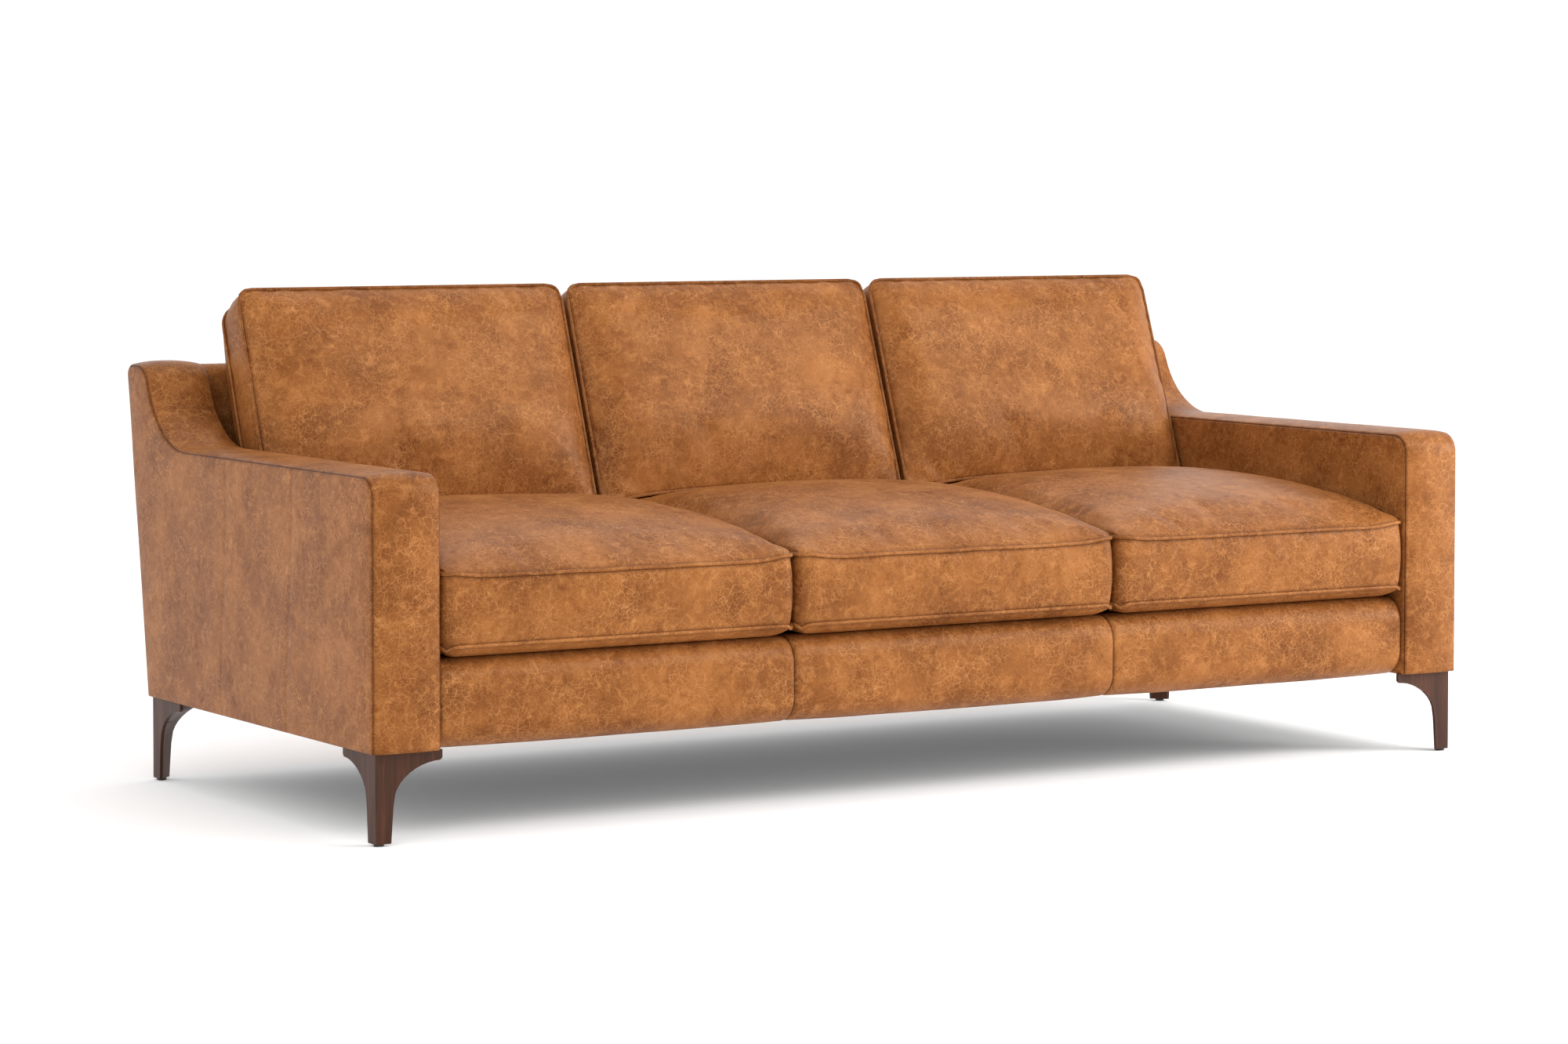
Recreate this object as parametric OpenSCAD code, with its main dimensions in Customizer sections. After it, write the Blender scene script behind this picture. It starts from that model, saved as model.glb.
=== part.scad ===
// Three-seat leather sofa on four wooden corner legs.
// Units are millimetres, +Z is up, the front faces -Y, and the origin is on the floor at the
// middle of the sofa. Outlines seen from the side are drawn as [y, z] with y = 0 at the front
// of the arms, and placed() moves them into the sofa's own frame.

/* [Overall] */
// Width over the outsides of the arms
overall_w = 2232; // [2000:1:2500]
// Height of the underside of the body
base_z = 150; // [100:1:180]

/* [Arms] */
// Width of an arm
arm_w = 121; // [90:1:160]
// Height of an arm
arm_h = 592; // [560:1:620]
// Radius of the arm's top front corner
arm_corner_r = 32; // [10:1:50]
// Where the arm starts to sweep up to the back
sweep_y = 745; // [700:1:760]
// Radius of the hollow of the sweep
sweep_r = 172; // [160:1:185]
// Radius of the shoulder above the sweep
shoulder_r = 48; // [40:1:55]
// Turn of the sweep before it bends over into the shoulder
sweep_turn = 69.4; // [66:0.1:72]

/* [Back] */
// Depth of the arm at its foot, front to back
foot_d = 911; // [900:1:920]
// Lean of the outside back
back_rake = 8.5; // [6:0.1:9.5]
// Radius of the rear top corner
rear_corner_r = 15; // [8:1:20]
// Front of the inside back at seat level
inside_back_y = 862; // [858:1:866]
// Lean of the inside back
inside_rake = 10.3; // [9:0.1:10.5]

/* [Front rail] */
// Height of the top of the padded front rail
rail_top_z = 293; // [285:1:298]
// Distance of the rail's face behind the arm's face
rail_set_back = 4; // [2:1:10]
// Radius of the rail's padded edges
rail_r = 44; // [30:1:50]

/* [Layers] */
// Leather with its backing cloth
leather_t = 2.5; // [1.5:0.1:3]
// Foam over the edges of the frame
pad_t = 12; // [8:1:16]
// Foam on the flat sides of the arms
side_pad_t = 8; // [5:1:10]
// Plywood of the arm frames
ply_t = 15; // [12:1:18]

/* [Seat cushions] */
// Number of seats
seats = 3; // [3:1:3]
// Height of the lower seam
seat_seam_low_z = 315; // [310:1:325]
// Height of the upper seam
seat_seam_high_z = 427; // [420:1:435]
// Height of the crown
seat_crown_z = 514; // [500:1:520]
// Depth of a seat cushion behind the arm's face
seat_d = 850; // [840:1:852]
// How far the front boxing bulges in front of the arm's face
seat_bulge = 10; // [5:1:14]

/* [Back cushions] */
// Lean of the back cushions
cushion_rake = 20; // [18:0.5:21]
// Depth of the boxing
boxing_d = 90; // [80:1:95]
// Height of the cushion along its lean
back_cushion_h = 442; // [430:1:446]
// Swell of the front panel
front_swell = 32; // [20:1:40]
// Swell of the rear panel
rear_swell = 76; // [50:1:80]

/* [Legs] */
// Width of a leg's wings under the body
leg_w = 120; // [100:1:130]
// Width of a leg at the floor
leg_foot_w = 28; // [24:1:34]
// Distance of a leg behind the faces of the body
leg_inset = 8; // [4:1:12]
// Height of a glide
glide_h = 4; // [3:0.5:6]
// Radius of a glide
glide_r = 8.5; // [7:0.5:9]

/* [Springs] */
// Sinuous springs under each seat
springs_per_seat = 4; // [3:1:4]
// Half-loops in a spring
spring_turns = 18; // [14:1:20]
// Spring wire
wire_d = 3.6; // [3:0.1:4]

/* [Hidden] */
seat_names = ["left", "centre", "right"];

$fn = 48;
leather = "#b0703f";
foam = "#e8dcb4";
timber = "#c9a46a";
plywood = "#d8bd8a";
walnut = "#4a2d22";
steel = "#8d9094";
black = "#1c1c1e";
cloth = "#3a2a20";

half_w = overall_w / 2;
inner_x = half_w - arm_w;          // inner face of an arm
eps_gap = 0.5;                     // clearance between loose pieces
deck_z = rail_top_z + 1;           // top of the deck cloth
panel_x = half_w - leather_t - side_pad_t;    // outer face of an arm's outer plywood
inner_panel_x = inner_x + leather_t + side_pad_t;  // inner face of its inner plywood
frame_inset = leather_t + pad_t;   // plywood edge below the leather's outside

seat_pitch = 2 * (inner_x - 1) / seats;
seat_w = seat_pitch - 1;
seat_x = [for (i = [0 : seats - 1]) (i - (seats - 1) / 2) * seat_pitch];

// Points of an arc, clockwise or anticlockwise as the angles say.
function arc(c, r, from, to, n = 8) =
    [for (i = [0 : n]) let (a = from + (to - from) * i / n) [c[0] + r * cos(a), c[1] + r * sin(a)]];

// Rear face of the body at height z, moved in by t.
function rear_y(z, t = 0) = foot_d + (z - base_z) * tan(back_rake) - t / cos(back_rake);

// Side outline of an arm with its wing, every edge moved in by t, its foot at height foot.
shoulder_c = [sweep_y + (sweep_r + shoulder_r) * sin(sweep_turn),
              arm_h + sweep_r - (sweep_r + shoulder_r) * cos(sweep_turn)];
back_top_z = shoulder_c[1] + shoulder_r;
rear_c_z = back_top_z - rear_corner_r;
rear_c = [rear_y(rear_c_z) - rear_corner_r / cos(back_rake), rear_c_z];
front_y = (seat_bulge - rear_c[0] - rear_corner_r) / 2;  // the arms' face in the sofa's frame
function arm_outline(t, foot = base_z) = concat(
    [[t, foot]],
    arc([arm_corner_r, arm_h - arm_corner_r], arm_corner_r - t, 180, 90),
    arc([sweep_y, arm_h + sweep_r], sweep_r + t, 270, 270 + sweep_turn, 12),
    arc(shoulder_c, shoulder_r - t, 90 + sweep_turn, 90),
    arc(rear_c, rear_corner_r - min(t, rear_corner_r - 1), 90, -back_rake),
    [[rear_y(foot, t), foot]]);

// Side outline of the back between the arms.
inside_r = 22;
function inside_y(z, t = 0) = inside_back_y + (z - deck_z) * tan(inside_rake) + t / cos(inside_rake);
function back_outline(t, foot) = concat(
    [[inside_y(foot, t), foot]],
    arc([inside_y(back_top_z - inside_r) + inside_r / cos(inside_rake), back_top_z - inside_r],
        inside_r - min(t, inside_r - 1), 180 - inside_rake, 90),
    arc(rear_c, rear_corner_r - min(t, rear_corner_r - 1), 90, -back_rake),
    [[rear_y(foot, t), foot]]);

// Side outline of the padded front rail.
rail_back_y = 66;
rail_foot_z = base_z - 2;
function rail_outline(t) = concat(
    [[rail_back_y, rail_foot_z + t]],
    arc([rail_set_back + rail_r, rail_foot_z + rail_r], rail_r - t, 270, 180),
    arc([rail_set_back + rail_r, rail_top_z - rail_r], rail_r - t, 180, 90),
    [[rail_back_y, rail_top_z - t]]);

// Side outline of a seat cushion: flat below, boxed, crowned above.
seat_mid_y = seat_d / 2;
seat_rest_z = deck_z + eps_gap;
seat_crown_h = seat_crown_z - seat_seam_high_z;
function crown(s) = sqrt(max(0, 1 - s * s));
function seat_outline(t) = concat(
    [[30 + t, seat_rest_z + t], [t - 2, seat_seam_low_z], [t - seat_bulge, seat_seam_low_z + 28],
     [t - seat_bulge, seat_seam_high_z - 28], [t - 2, seat_seam_high_z]],
    [for (i = [-8 : 8]) let (s = i / 9)
        [seat_mid_y + s * (seat_mid_y - t), seat_seam_high_z - t + seat_crown_h * crown(s)]],
    [[seat_d - t, seat_seam_high_z - 20], [seat_d - t, seat_seam_low_z],
     [seat_d - 20 - t, seat_rest_z + t]]);

// Front outline of a seat cushion, as [x, z] about its own middle.
side_power = 0.2;                  // the crown is flat across the seat and falls off at its sides
function seat_front(t) = concat(
    [[-seat_w / 2 + 25 + t, seat_rest_z + t], [-seat_w / 2 + t, seat_seam_low_z + 12],
     [-seat_w / 2 + t, seat_seam_high_z - 12]],
    [for (i = [-9 : 9]) let (s = i / 9.3)
        [s * (seat_w / 2 - t), seat_seam_high_z - t + seat_crown_h * pow(1 - s * s, side_power)]],
    [[seat_w / 2 - t, seat_seam_high_z - 12], [seat_w / 2 - t, seat_seam_low_z + 12],
     [seat_w / 2 - 25 - t, seat_rest_z + t]]);

// Side outline of a back cushion in its own leaning frame, [depth, height].
back_foot = [670, 455];            // foot of its front seam
back_corner_r = 16;
function back_profile(t) = concat(
    [for (i = [0 : 10]) let (s = i / 10)
        [t - front_swell * crown(2 * s - 1), t + s * (back_cushion_h - back_corner_r - t)]],
    arc([back_corner_r + t, back_cushion_h - back_corner_r - t], back_corner_r, 180, 90, 4),
    arc([boxing_d - back_corner_r - t, back_cushion_h - back_corner_r - t], back_corner_r, 90, 0, 4),
    [for (i = [10 : -1 : 0]) let (s = i / 10)
        [boxing_d - t + rear_swell * crown(2 * s - 1), t + s * (back_cushion_h - back_corner_r - t)]]);

// ---- placing ----

// Moves side outlines and what is drawn with y = 0 at the arm's face into the sofa's frame.
module placed() { translate([0, front_y, 0]) children(); }

// Extrudes a side outline, [y, z], from x0 to x1.
module across(x0, x1) { translate([x0, 0, 0]) rotate([90, 0, 90]) linear_extrude(x1 - x0) children(); }

// Extrudes a front outline, [x, z], from y0 to y1.
module along(y0, y1) { translate([0, y1, 0]) rotate([90, 0, 0]) linear_extrude(y1 - y0) children(); }

// Draws for the left side, and mirrors it for the right.
module on_side(side) { if (side < 0) children(); else mirror([1, 0, 0]) children(); }

module box(low, high) { translate(low) cube(high - low); }

// ---- legs ----

// Width of a leg's wing at each height: a slim foot that flares in a quarter turn into the body.
leg_top_z = base_z;
flare_z = leg_top_z - 17;          // lower edge of the wing's end
knee_w = leg_foot_w + 6;
knee_z = base_z * 0.5;
function leg_side() = concat(
    [[0, glide_h], [leg_foot_w, glide_h], [knee_w - 2, knee_z - 12], [knee_w, knee_z]],
    [for (i = [1 : 9]) let (a = 90 * i / 10)
        [knee_w + (leg_w - knee_w - 2) * pow(1 - cos(a), 0.9),
         knee_z + (flare_z - knee_z) * sin(a)]],
    [[leg_w - 4, flare_z], [leg_w, flare_z + 4], [leg_w, leg_top_z], [0, leg_top_z]]);

bolt_at = leg_foot_w;              // bolt's distance from both outer faces of a leg
glide_at = 11;                     // glide's distance from both outer faces of a leg
bolt_foot_z = leg_top_z - 30;
bolt_head_z = leg_top_z + 32;
bolt_r = 4;
nail_r = 1.5;

// A leg in the corner where x and y both grow inwards. Its inner face is cut off diagonally.
module leg_shape() {
    lip = 6;                       // thickness of a wing at its end
    difference() {
        intersection() {
            along(0, leg_w + 1) polygon(leg_side());
            across(0, leg_w + 1) polygon(leg_side());
            rotate([0, 0, 45]) along(-leg_w, leg_w)
                polygon([for (p = leg_side()) [p[0] == 0 ? -1 : (p[0] + lip) / sqrt(2), p[1]]]);
        }
        translate([bolt_at, bolt_at, bolt_foot_z]) cylinder(r = bolt_r + 0.1, h = 60);
        translate([glide_at, glide_at, 0]) cylinder(r = nail_r + 0.1, h = glide_h + 15.1);
    }
}

leg_corner_x = half_w - leg_inset;
leg_front_y = front_y + leg_inset;
leg_rear_y = front_y + foot_d - 2;

// Puts its children in each corner asked for: side and end are -1 or 1.
module in_corner(side, end) {
    translate([side * leg_corner_x, end < 0 ? leg_front_y : leg_rear_y, 0])
        mirror([side > 0 ? 1 : 0, 0, 0]) mirror([0, end > 0 ? 1 : 0, 0]) children();
}
module in_all_corners() { for (side = [-1, 1], end = [-1, 1]) in_corner(side, end) children(); }

module leg_front_left() { color(walnut) in_corner(-1, -1) leg_shape(); }
module leg_front_right() { color(walnut) in_corner(1, -1) leg_shape(); }
module leg_rear_left() { color(walnut) in_corner(-1, 1) leg_shape(); }
module leg_rear_right() { color(walnut) in_corner(1, 1) leg_shape(); }

module glides() {
    color(black) in_all_corners() translate([glide_at, glide_at, 0]) {
        cylinder(r = glide_r, h = glide_h);
        cylinder(r = nail_r, h = glide_h + 14);
    }
}

module leg_bolts() {
    color(steel) in_all_corners() translate([bolt_at, bolt_at, bolt_foot_z])
        cylinder(r = bolt_r, h = bolt_head_z - bolt_foot_z);
}

nut_flange_r = 10;
nut_flange_t = 2;
nut_barrel_r = 5.5;
nut_h = 16;
module leg_nuts() {
    color(steel) in_all_corners() translate([bolt_at, bolt_at, leg_top_z]) difference() {
        union() {
            cylinder(r = nut_flange_r, h = nut_flange_t);
            cylinder(r = nut_barrel_r, h = nut_h);
        }
        translate([0, 0, -1]) cylinder(r = bolt_r + 0.1, h = nut_h + 2);
    }
}

// Room for the nuts and bolts in the posts above the legs.
module nut_holes() {
    in_all_corners() translate([bolt_at, bolt_at, leg_top_z - 1]) {
        cylinder(r = nut_flange_r + 0.1, h = nut_flange_t + 1.1);
        cylinder(r = nut_barrel_r + 0.1, h = nut_h + 1.1);
        cylinder(r = bolt_r + 0.1, h = bolt_head_z - leg_top_z + 3);
    }
}

// ---- seat frame ----

rail_t = 26;                       // thickness of the frame's boards
front_rail_y = rail_back_y - rail_t;
back_rail_y = 846;
rail_bar_top = deck_z - 14;        // the springs lie on the rails at this height

module front_rail() {
    color(timber) placed() box([-inner_panel_x, front_rail_y, base_z + 2],
                               [inner_panel_x, rail_back_y, rail_bar_top]);
}
module back_rail() {
    color(timber) placed() box([-inner_panel_x, back_rail_y, base_z + 1],
                               [inner_panel_x, back_rail_y + rail_t, rail_bar_top]);
}
// Two rails along the arms and two across the middle of the seat frame, front to back.
module cross_rails() {
    middle_w = 40;
    color(timber) placed() for (side = [-1, 1]) {
        on_side(side) box([-inner_panel_x, rail_back_y, base_z + 50],
                          [-inner_panel_x + rail_t, back_rail_y, rail_bar_top]);
        box([side * seat_pitch / 2 - middle_w / 2, rail_back_y, base_z + 1],
            [side * seat_pitch / 2 + middle_w / 2, back_rail_y, base_z + 61]);
    }
}

// Sinuous springs run front to back on clips that sit on the front and back rails.
clip_t = 1.5;
spring_z = rail_bar_top + clip_t;
spring_front_y = (front_rail_y + rail_back_y) / 2;
spring_back_y = back_rail_y + rail_t / 2;
spring_pitch = (spring_back_y - spring_front_y) / spring_turns;
spring_bar = 14;                   // half the straight part of a loop
spring_x = [for (x = seat_x, j = [0 : springs_per_seat - 1])
    x + (j - (springs_per_seat - 1) / 2) * seat_pitch / springs_per_seat];

// One edge of the bent wire, s = 1 for its left edge and -1 for its right.
function spring_edge(s) = [for (k = [0 : spring_turns - 1], i = [0 : 5])
    let (even = k % 2 == 0 ? 1 : -1,
         r = spring_pitch / 2 - s * even * wire_d / 2,
         a = -90 + 36 * i)
    [even * (spring_bar + r * cos(a)), spring_front_y + (k + 0.5) * spring_pitch + r * sin(a)]];
function reversed(list) = [for (i = [len(list) - 1 : -1 : 0]) list[i]];
spring_end = spring_turns % 2 == 0 ? 1 : -1;
function spring_shape() = concat(
    [[-spring_bar, spring_front_y - wire_d / 2], [-spring_bar, spring_front_y + wire_d / 2]],
    spring_edge(1),
    [[spring_end * spring_bar, spring_back_y + wire_d / 2],
     [spring_end * spring_bar, spring_back_y - wire_d / 2]],
    reversed(spring_edge(-1)));

module seat_springs() {
    color(steel) placed() for (x = spring_x)
        translate([x, 0, spring_z + 0.2]) linear_extrude(wire_d) polygon(spring_shape());
}

// A clip is a folded strip of steel that holds the last bar of a spring down on its rail.
clip_gap = wire_d + 0.5;
module clip() {
    depth = 9;
    across(-10, 10) difference() {
        translate([-depth, 0]) square([2 * depth, 2 * clip_t + clip_gap]);
        translate([-depth + clip_t, clip_t]) square([2 * depth, clip_gap]);
    }
}
module spring_clips() {
    color(steel) placed() for (x = spring_x) {
        translate([x, spring_front_y, rail_bar_top]) clip();
        translate([x, spring_back_y, rail_bar_top]) mirror([0, 1, 0]) clip();
    }
}

deck_t = 1.2;
module deck_pad() {
    color(foam) placed() box([-inner_x + 1, rail_back_y + 1, deck_z - 6],
                             [inner_x - 1, inside_back_y - 4, deck_z - deck_t]);
}
module deck_cloth() {
    color(cloth) placed() box([-inner_x + 1, rail_back_y + 1, deck_z - deck_t],
                              [inner_x - 1, inside_back_y - 4, deck_z]);
}
module dust_cover() {
    edge = 12;
    leg_room = leg_w + leg_inset + 2;
    color(black) placed() difference() {
        box([-half_w + edge, rail_back_y + 2, base_z - 1], [half_w - edge, foot_d - edge, base_z]);
        for (side = [-1, 1], y = [0, foot_d - leg_room])
            translate([side * half_w - leg_room, y, base_z - 2]) cube([2 * leg_room, leg_room, 4]);
    }
}

// ---- arms ----

// What is cut from an arm's inner side, where the seat frame and the back join it.
module joint_notch() {
    polygon(back_outline(0, base_z - 20));
    polygon([[30, base_z - 20], [foot_d + 100, base_z - 20], [foot_d + 100, deck_z - 2],
             [30, deck_z - 2]]);
}

module arm_panels(side) {
    color(plywood) placed() on_side(side) for (x = [-panel_x, -inner_panel_x - ply_t])
        across(x, x + ply_t) polygon(arm_outline(frame_inset));
}
module arm_panels_left() { arm_panels(-1); }
module arm_panels_right() { arm_panels(1); }

// Solid timber between the two plywood panels of an arm.
post_d = 42;
rail_h = 40;
module arm_posts(side) {
    inner_top = arm_h - frame_inset;
    color(timber) difference() {
        placed() on_side(side) across(-panel_x + ply_t, -inner_panel_x - ply_t) {
            translate([frame_inset, base_z]) square([post_d, inner_top - base_z - arm_corner_r]);
            polygon([[rear_y(base_z, frame_inset) - post_d, base_z],
                     [rear_y(back_top_z - 40, frame_inset) - post_d, back_top_z - 40],
                     [rear_y(back_top_z - 40, frame_inset), back_top_z - 40],
                     [rear_y(base_z, frame_inset), base_z]]);
            polygon([[frame_inset + post_d, base_z],
                     [rear_y(base_z, frame_inset) - post_d, base_z],
                     [rear_y(base_z + rail_h, frame_inset) - post_d, base_z + rail_h],
                     [frame_inset + post_d, base_z + rail_h]]);
            polygon([[frame_inset + post_d, inner_top - rail_h],
                     [rear_y(inner_top - rail_h, frame_inset) - post_d, inner_top - rail_h],
                     [sweep_y - 20, inner_top], [frame_inset + post_d, inner_top]]);
        }
        nut_holes();
    }
}
module arm_posts_left() { arm_posts(-1); }
module arm_posts_right() { arm_posts(1); }

module arm_foam(side) {
    color(foam) placed() on_side(side) difference() {
        across(-half_w + leather_t, -inner_x - leather_t) polygon(arm_outline(leather_t));
        across(-panel_x, -inner_panel_x) polygon(arm_outline(frame_inset, base_z - 20));
        across(-inner_panel_x, -inner_x + 1) joint_notch();
    }
}
module arm_foam_left() { arm_foam(-1); }
module arm_foam_right() { arm_foam(1); }

// The strip of leather over the front, the top and the sweep of an arm.
module arm_boxing(side) {
    color(leather) placed() on_side(side) across(-half_w, -inner_x) difference() {
        polygon(arm_outline(0));
        polygon(arm_outline(leather_t, base_z - 20));
        rear_strip();
    }
}
module arm_boxing_left() { arm_boxing(-1); }
module arm_boxing_right() { arm_boxing(1); }

// The outside back's strip in side view, cut from whatever else reaches the rear face.
module rear_strip() {
    t = leather_t + 0.02;
    polygon([[rear_y(base_z - 30, t), base_z - 30], [rear_y(rear_c_z, t), rear_c_z],
             [rear_y(rear_c_z, -20), rear_c_z], [rear_y(base_z - 30, -20), base_z - 30]]);
}

module arm_outer_cover(side) {
    color(leather) placed() on_side(side) across(-half_w, -half_w + leather_t)
        polygon(arm_outline(leather_t));
}
module arm_outer_cover_left() { arm_outer_cover(-1); }
module arm_outer_cover_right() { arm_outer_cover(1); }

module arm_inner_cover(side) {
    color(leather) placed() on_side(side) across(-inner_x - leather_t, -inner_x) difference() {
        polygon(arm_outline(leather_t));
        joint_notch();
    }
}
module arm_inner_cover_left() { arm_inner_cover(-1); }
module arm_inner_cover_right() { arm_inner_cover(1); }

// ---- front rail upholstery ----

rail_end_x = inner_x - 5;
module rail_foam() {
    color(foam) placed() difference() {
        across(-rail_end_x + leather_t, rail_end_x - leather_t) polygon(rail_outline(leather_t));
        box([-inner_panel_x, front_rail_y, rail_foot_z - 1], [inner_panel_x, rail_back_y + 1, rail_top_z]);
    }
}

// A leather panel of the front rail; closed_end is -1, 0 or 1 for the end beside an arm.
module rail_cover(x0, x1, closed_end) {
    color(leather) placed() {
        across(x0, x1) difference() {
            polygon(rail_outline(0));
            polygon(rail_outline(leather_t));
            translate([rail_back_y - 10, rail_foot_z + leather_t])
                square([20, rail_top_z - rail_foot_z - 2 * leather_t]);
        }
        if (closed_end != 0) {
            x = closed_end < 0 ? x0 : x1 - leather_t;
            across(x, x + leather_t) difference() {
                polygon(rail_outline(leather_t));
                translate([front_rail_y - 1, base_z]) square([100, 200]);
            }
        }
    }
}
module rail_cover_left() { rail_cover(-rail_end_x, -seat_pitch / 2, -1); }
module rail_cover_centre() { rail_cover(-seat_pitch / 2, seat_pitch / 2, 0); }
module rail_cover_right() { rail_cover(seat_pitch / 2, rail_end_x, 1); }

// ---- back ----

back_pad_t = 30;
back_foot_z = deck_z + 2;
back_frame_foot_z = rail_bar_top + 8;
back_rail_h = 45;
frame_top_z = back_top_z - frame_inset;

// The strip of the back that its timber frame fills, between two heights.
module back_frame_band(z0, z1) {
    f = leather_t + back_pad_t;
    r = leather_t + 2;
    polygon([[inside_y(z0, f), z0], [inside_y(z1, f), z1], [rear_y(z1, r), z1], [rear_y(z0, r), z0]]);
}
module back_frame() {
    post_w = 30;
    color(timber) placed() {
        across(-inner_panel_x, inner_panel_x)
            back_frame_band(frame_top_z - back_rail_h - 10, frame_top_z - 10);
        across(-inner_panel_x, inner_panel_x)
            back_frame_band(back_frame_foot_z, back_frame_foot_z + back_rail_h);
        for (x = [-inner_panel_x, -seat_pitch / 2 - post_w / 2, seat_pitch / 2 - post_w / 2,
                  inner_panel_x - post_w])
            across(x, x + post_w)
                back_frame_band(back_frame_foot_z + back_rail_h, frame_top_z - back_rail_h - 10);
    }
}
module back_webbing() {
    strap_w = 60;
    f = leather_t + back_pad_t;
    color(black) placed() for (x = seat_x, j = [-1 : 1])
        across(x + j * 170 - strap_w / 2, x + j * 170 + strap_w / 2)
            polygon([[inside_y(back_frame_foot_z, f - 1.5), back_frame_foot_z],
                     [inside_y(frame_top_z - 12, f - 1.5), frame_top_z - 12],
                     [inside_y(frame_top_z - 12, f), frame_top_z - 12],
                     [inside_y(back_frame_foot_z, f), back_frame_foot_z]]);
}
module back_foam() {
    color(foam) placed() across(-inner_x, inner_x) difference() {
        polygon(back_outline(leather_t + 0.05, back_foot_z));
        f = leather_t + back_pad_t - 1.5;
        polygon([[inside_y(back_foot_z - 30, f), back_foot_z - 30],
                 [inside_y(frame_top_z - 10, f), frame_top_z - 10],
                 [rear_y(frame_top_z - 10, 0) + 30, frame_top_z - 10],
                 [rear_y(back_foot_z - 30, 0) + 30, back_foot_z - 30]]);
    }
}
module inside_back_cover() {
    color(leather) placed() across(-inner_x, inner_x) difference() {
        polygon(back_outline(0, back_foot_z));
        polygon(back_outline(leather_t, back_foot_z - 20));
        rear_strip();
    }
}
module outside_back_cover() {
    color(leather) placed() across(-half_w, half_w)
        polygon([[rear_y(base_z, leather_t), base_z], [rear_y(rear_c_z, leather_t), rear_c_z],
                 [rear_y(rear_c_z), rear_c_z], [rear_y(base_z), base_z]]);
}

// ---- seat cushions ----

seat_corner_r = 22;
module seat_solid(t) {
    placed() intersection() {
        across(-seat_w / 2, seat_w / 2) polygon(seat_outline(t));
        along(-50, seat_d + 50) polygon(seat_front(t));
        translate([0, 0, seat_rest_z - 10]) linear_extrude(300)
            polygon(concat(
                arc([-seat_w / 2 + seat_corner_r, seat_corner_r - seat_bulge], seat_corner_r - t, 270, 180, 4),
                arc([-seat_w / 2 + seat_corner_r, seat_d - seat_corner_r], seat_corner_r - t, 180, 90, 4),
                arc([seat_w / 2 - seat_corner_r, seat_d - seat_corner_r], seat_corner_r - t, 90, 0, 4),
                arc([seat_w / 2 - seat_corner_r, seat_corner_r - seat_bulge], seat_corner_r - t, 0, -90, 4)));
    }
}

cover_t = 2;
module seat_cover(i) {
    color(leather) translate([seat_x[i], 0, 0]) difference() {
        seat_solid(0);
        seat_solid(cover_t);
    }
}
module seat_core(i) { color(foam) translate([seat_x[i], 0, 0]) seat_solid(cover_t); }
module seat_cover_left() { seat_cover(0); }
module seat_cover_centre() { seat_cover(1); }
module seat_cover_right() { seat_cover(2); }
module seat_core_left() { seat_core(0); }
module seat_core_centre() { seat_core(1); }
module seat_core_right() { seat_core(2); }

// A zip runs along the rear boxing of each cushion, with a slider at its closed end.
zip_half = 280;
zip_z = 365;
zip_w = 20;
zip_t = 1;
module zip_strip() { translate([-zip_half, -zip_w / 2, 0]) cube([2 * zip_half, zip_w, zip_t]); }

// A slider over a zip that lies in the XY plane; its tab lies along the zip.
module slider() {
    body_l = 10;
    body_t = 2.6;
    tab_l = 26;
    translate([-zip_half + 16, 0, zip_t + 0.4]) {
        translate([-body_l / 2, -4.5, 0]) cube([body_l, 9, body_t]);
        translate([-3, -2.5, body_t]) cube([tab_l, 5, 1.4]);
    }
}
module on_seat_rear(i) {
    placed() translate([seat_x[i], seat_d, zip_z]) rotate([-90, 0, 0]) children();
}
module seat_zip(i) { color(black) on_seat_rear(i) zip_strip(); }
module seat_pull(i) { color(steel) on_seat_rear(i) slider(); }
module seat_zip_left() { seat_zip(0); }
module seat_zip_centre() { seat_zip(1); }
module seat_zip_right() { seat_zip(2); }
module seat_pull_left() { seat_pull(0); }
module seat_pull_centre() { seat_pull(1); }
module seat_pull_right() { seat_pull(2); }

// ---- back cushions ----

back_cushion_w = seat_w - 4;
back_plan_r = 28;

// Moves the cushion's leaning frame, [x, depth, height], to its place on the seat.
module leaning() {
    translate([0, back_foot[0], back_foot[1]]) rotate([-cushion_rake, 0, 0]) children();
}
module back_solid(t) {
    w = back_cushion_w / 2;
    r = back_plan_r;
    h = back_cushion_h;
    placed() difference() {
        intersection() {
            leaning() across(-w, w) polygon(back_profile(t));
            leaning() along(-100, 300) polygon(concat(
                [[-w + t, -20], [w - t, -20]],
                arc([w - r, h - r], r - t, 0, 90, 5),
                arc([-w + r, h - r], r - t, 90, 180, 5)));
        }
        across(-w - 1, w + 1) polygon(seat_outline(-1 - t));
    }
}
module back_cover(i) {
    color(leather) translate([seat_x[i], 0, 0]) difference() {
        back_solid(0);
        back_solid(cover_t);
    }
}
module back_core(i) { color(foam) translate([seat_x[i], 0, 0]) back_solid(cover_t); }
module back_cover_left() { back_cover(0); }
module back_cover_centre() { back_cover(1); }
module back_cover_right() { back_cover(2); }
module back_core_left() { back_core(0); }
module back_core_centre() { back_core(1); }
module back_core_right() { back_core(2); }

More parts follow.
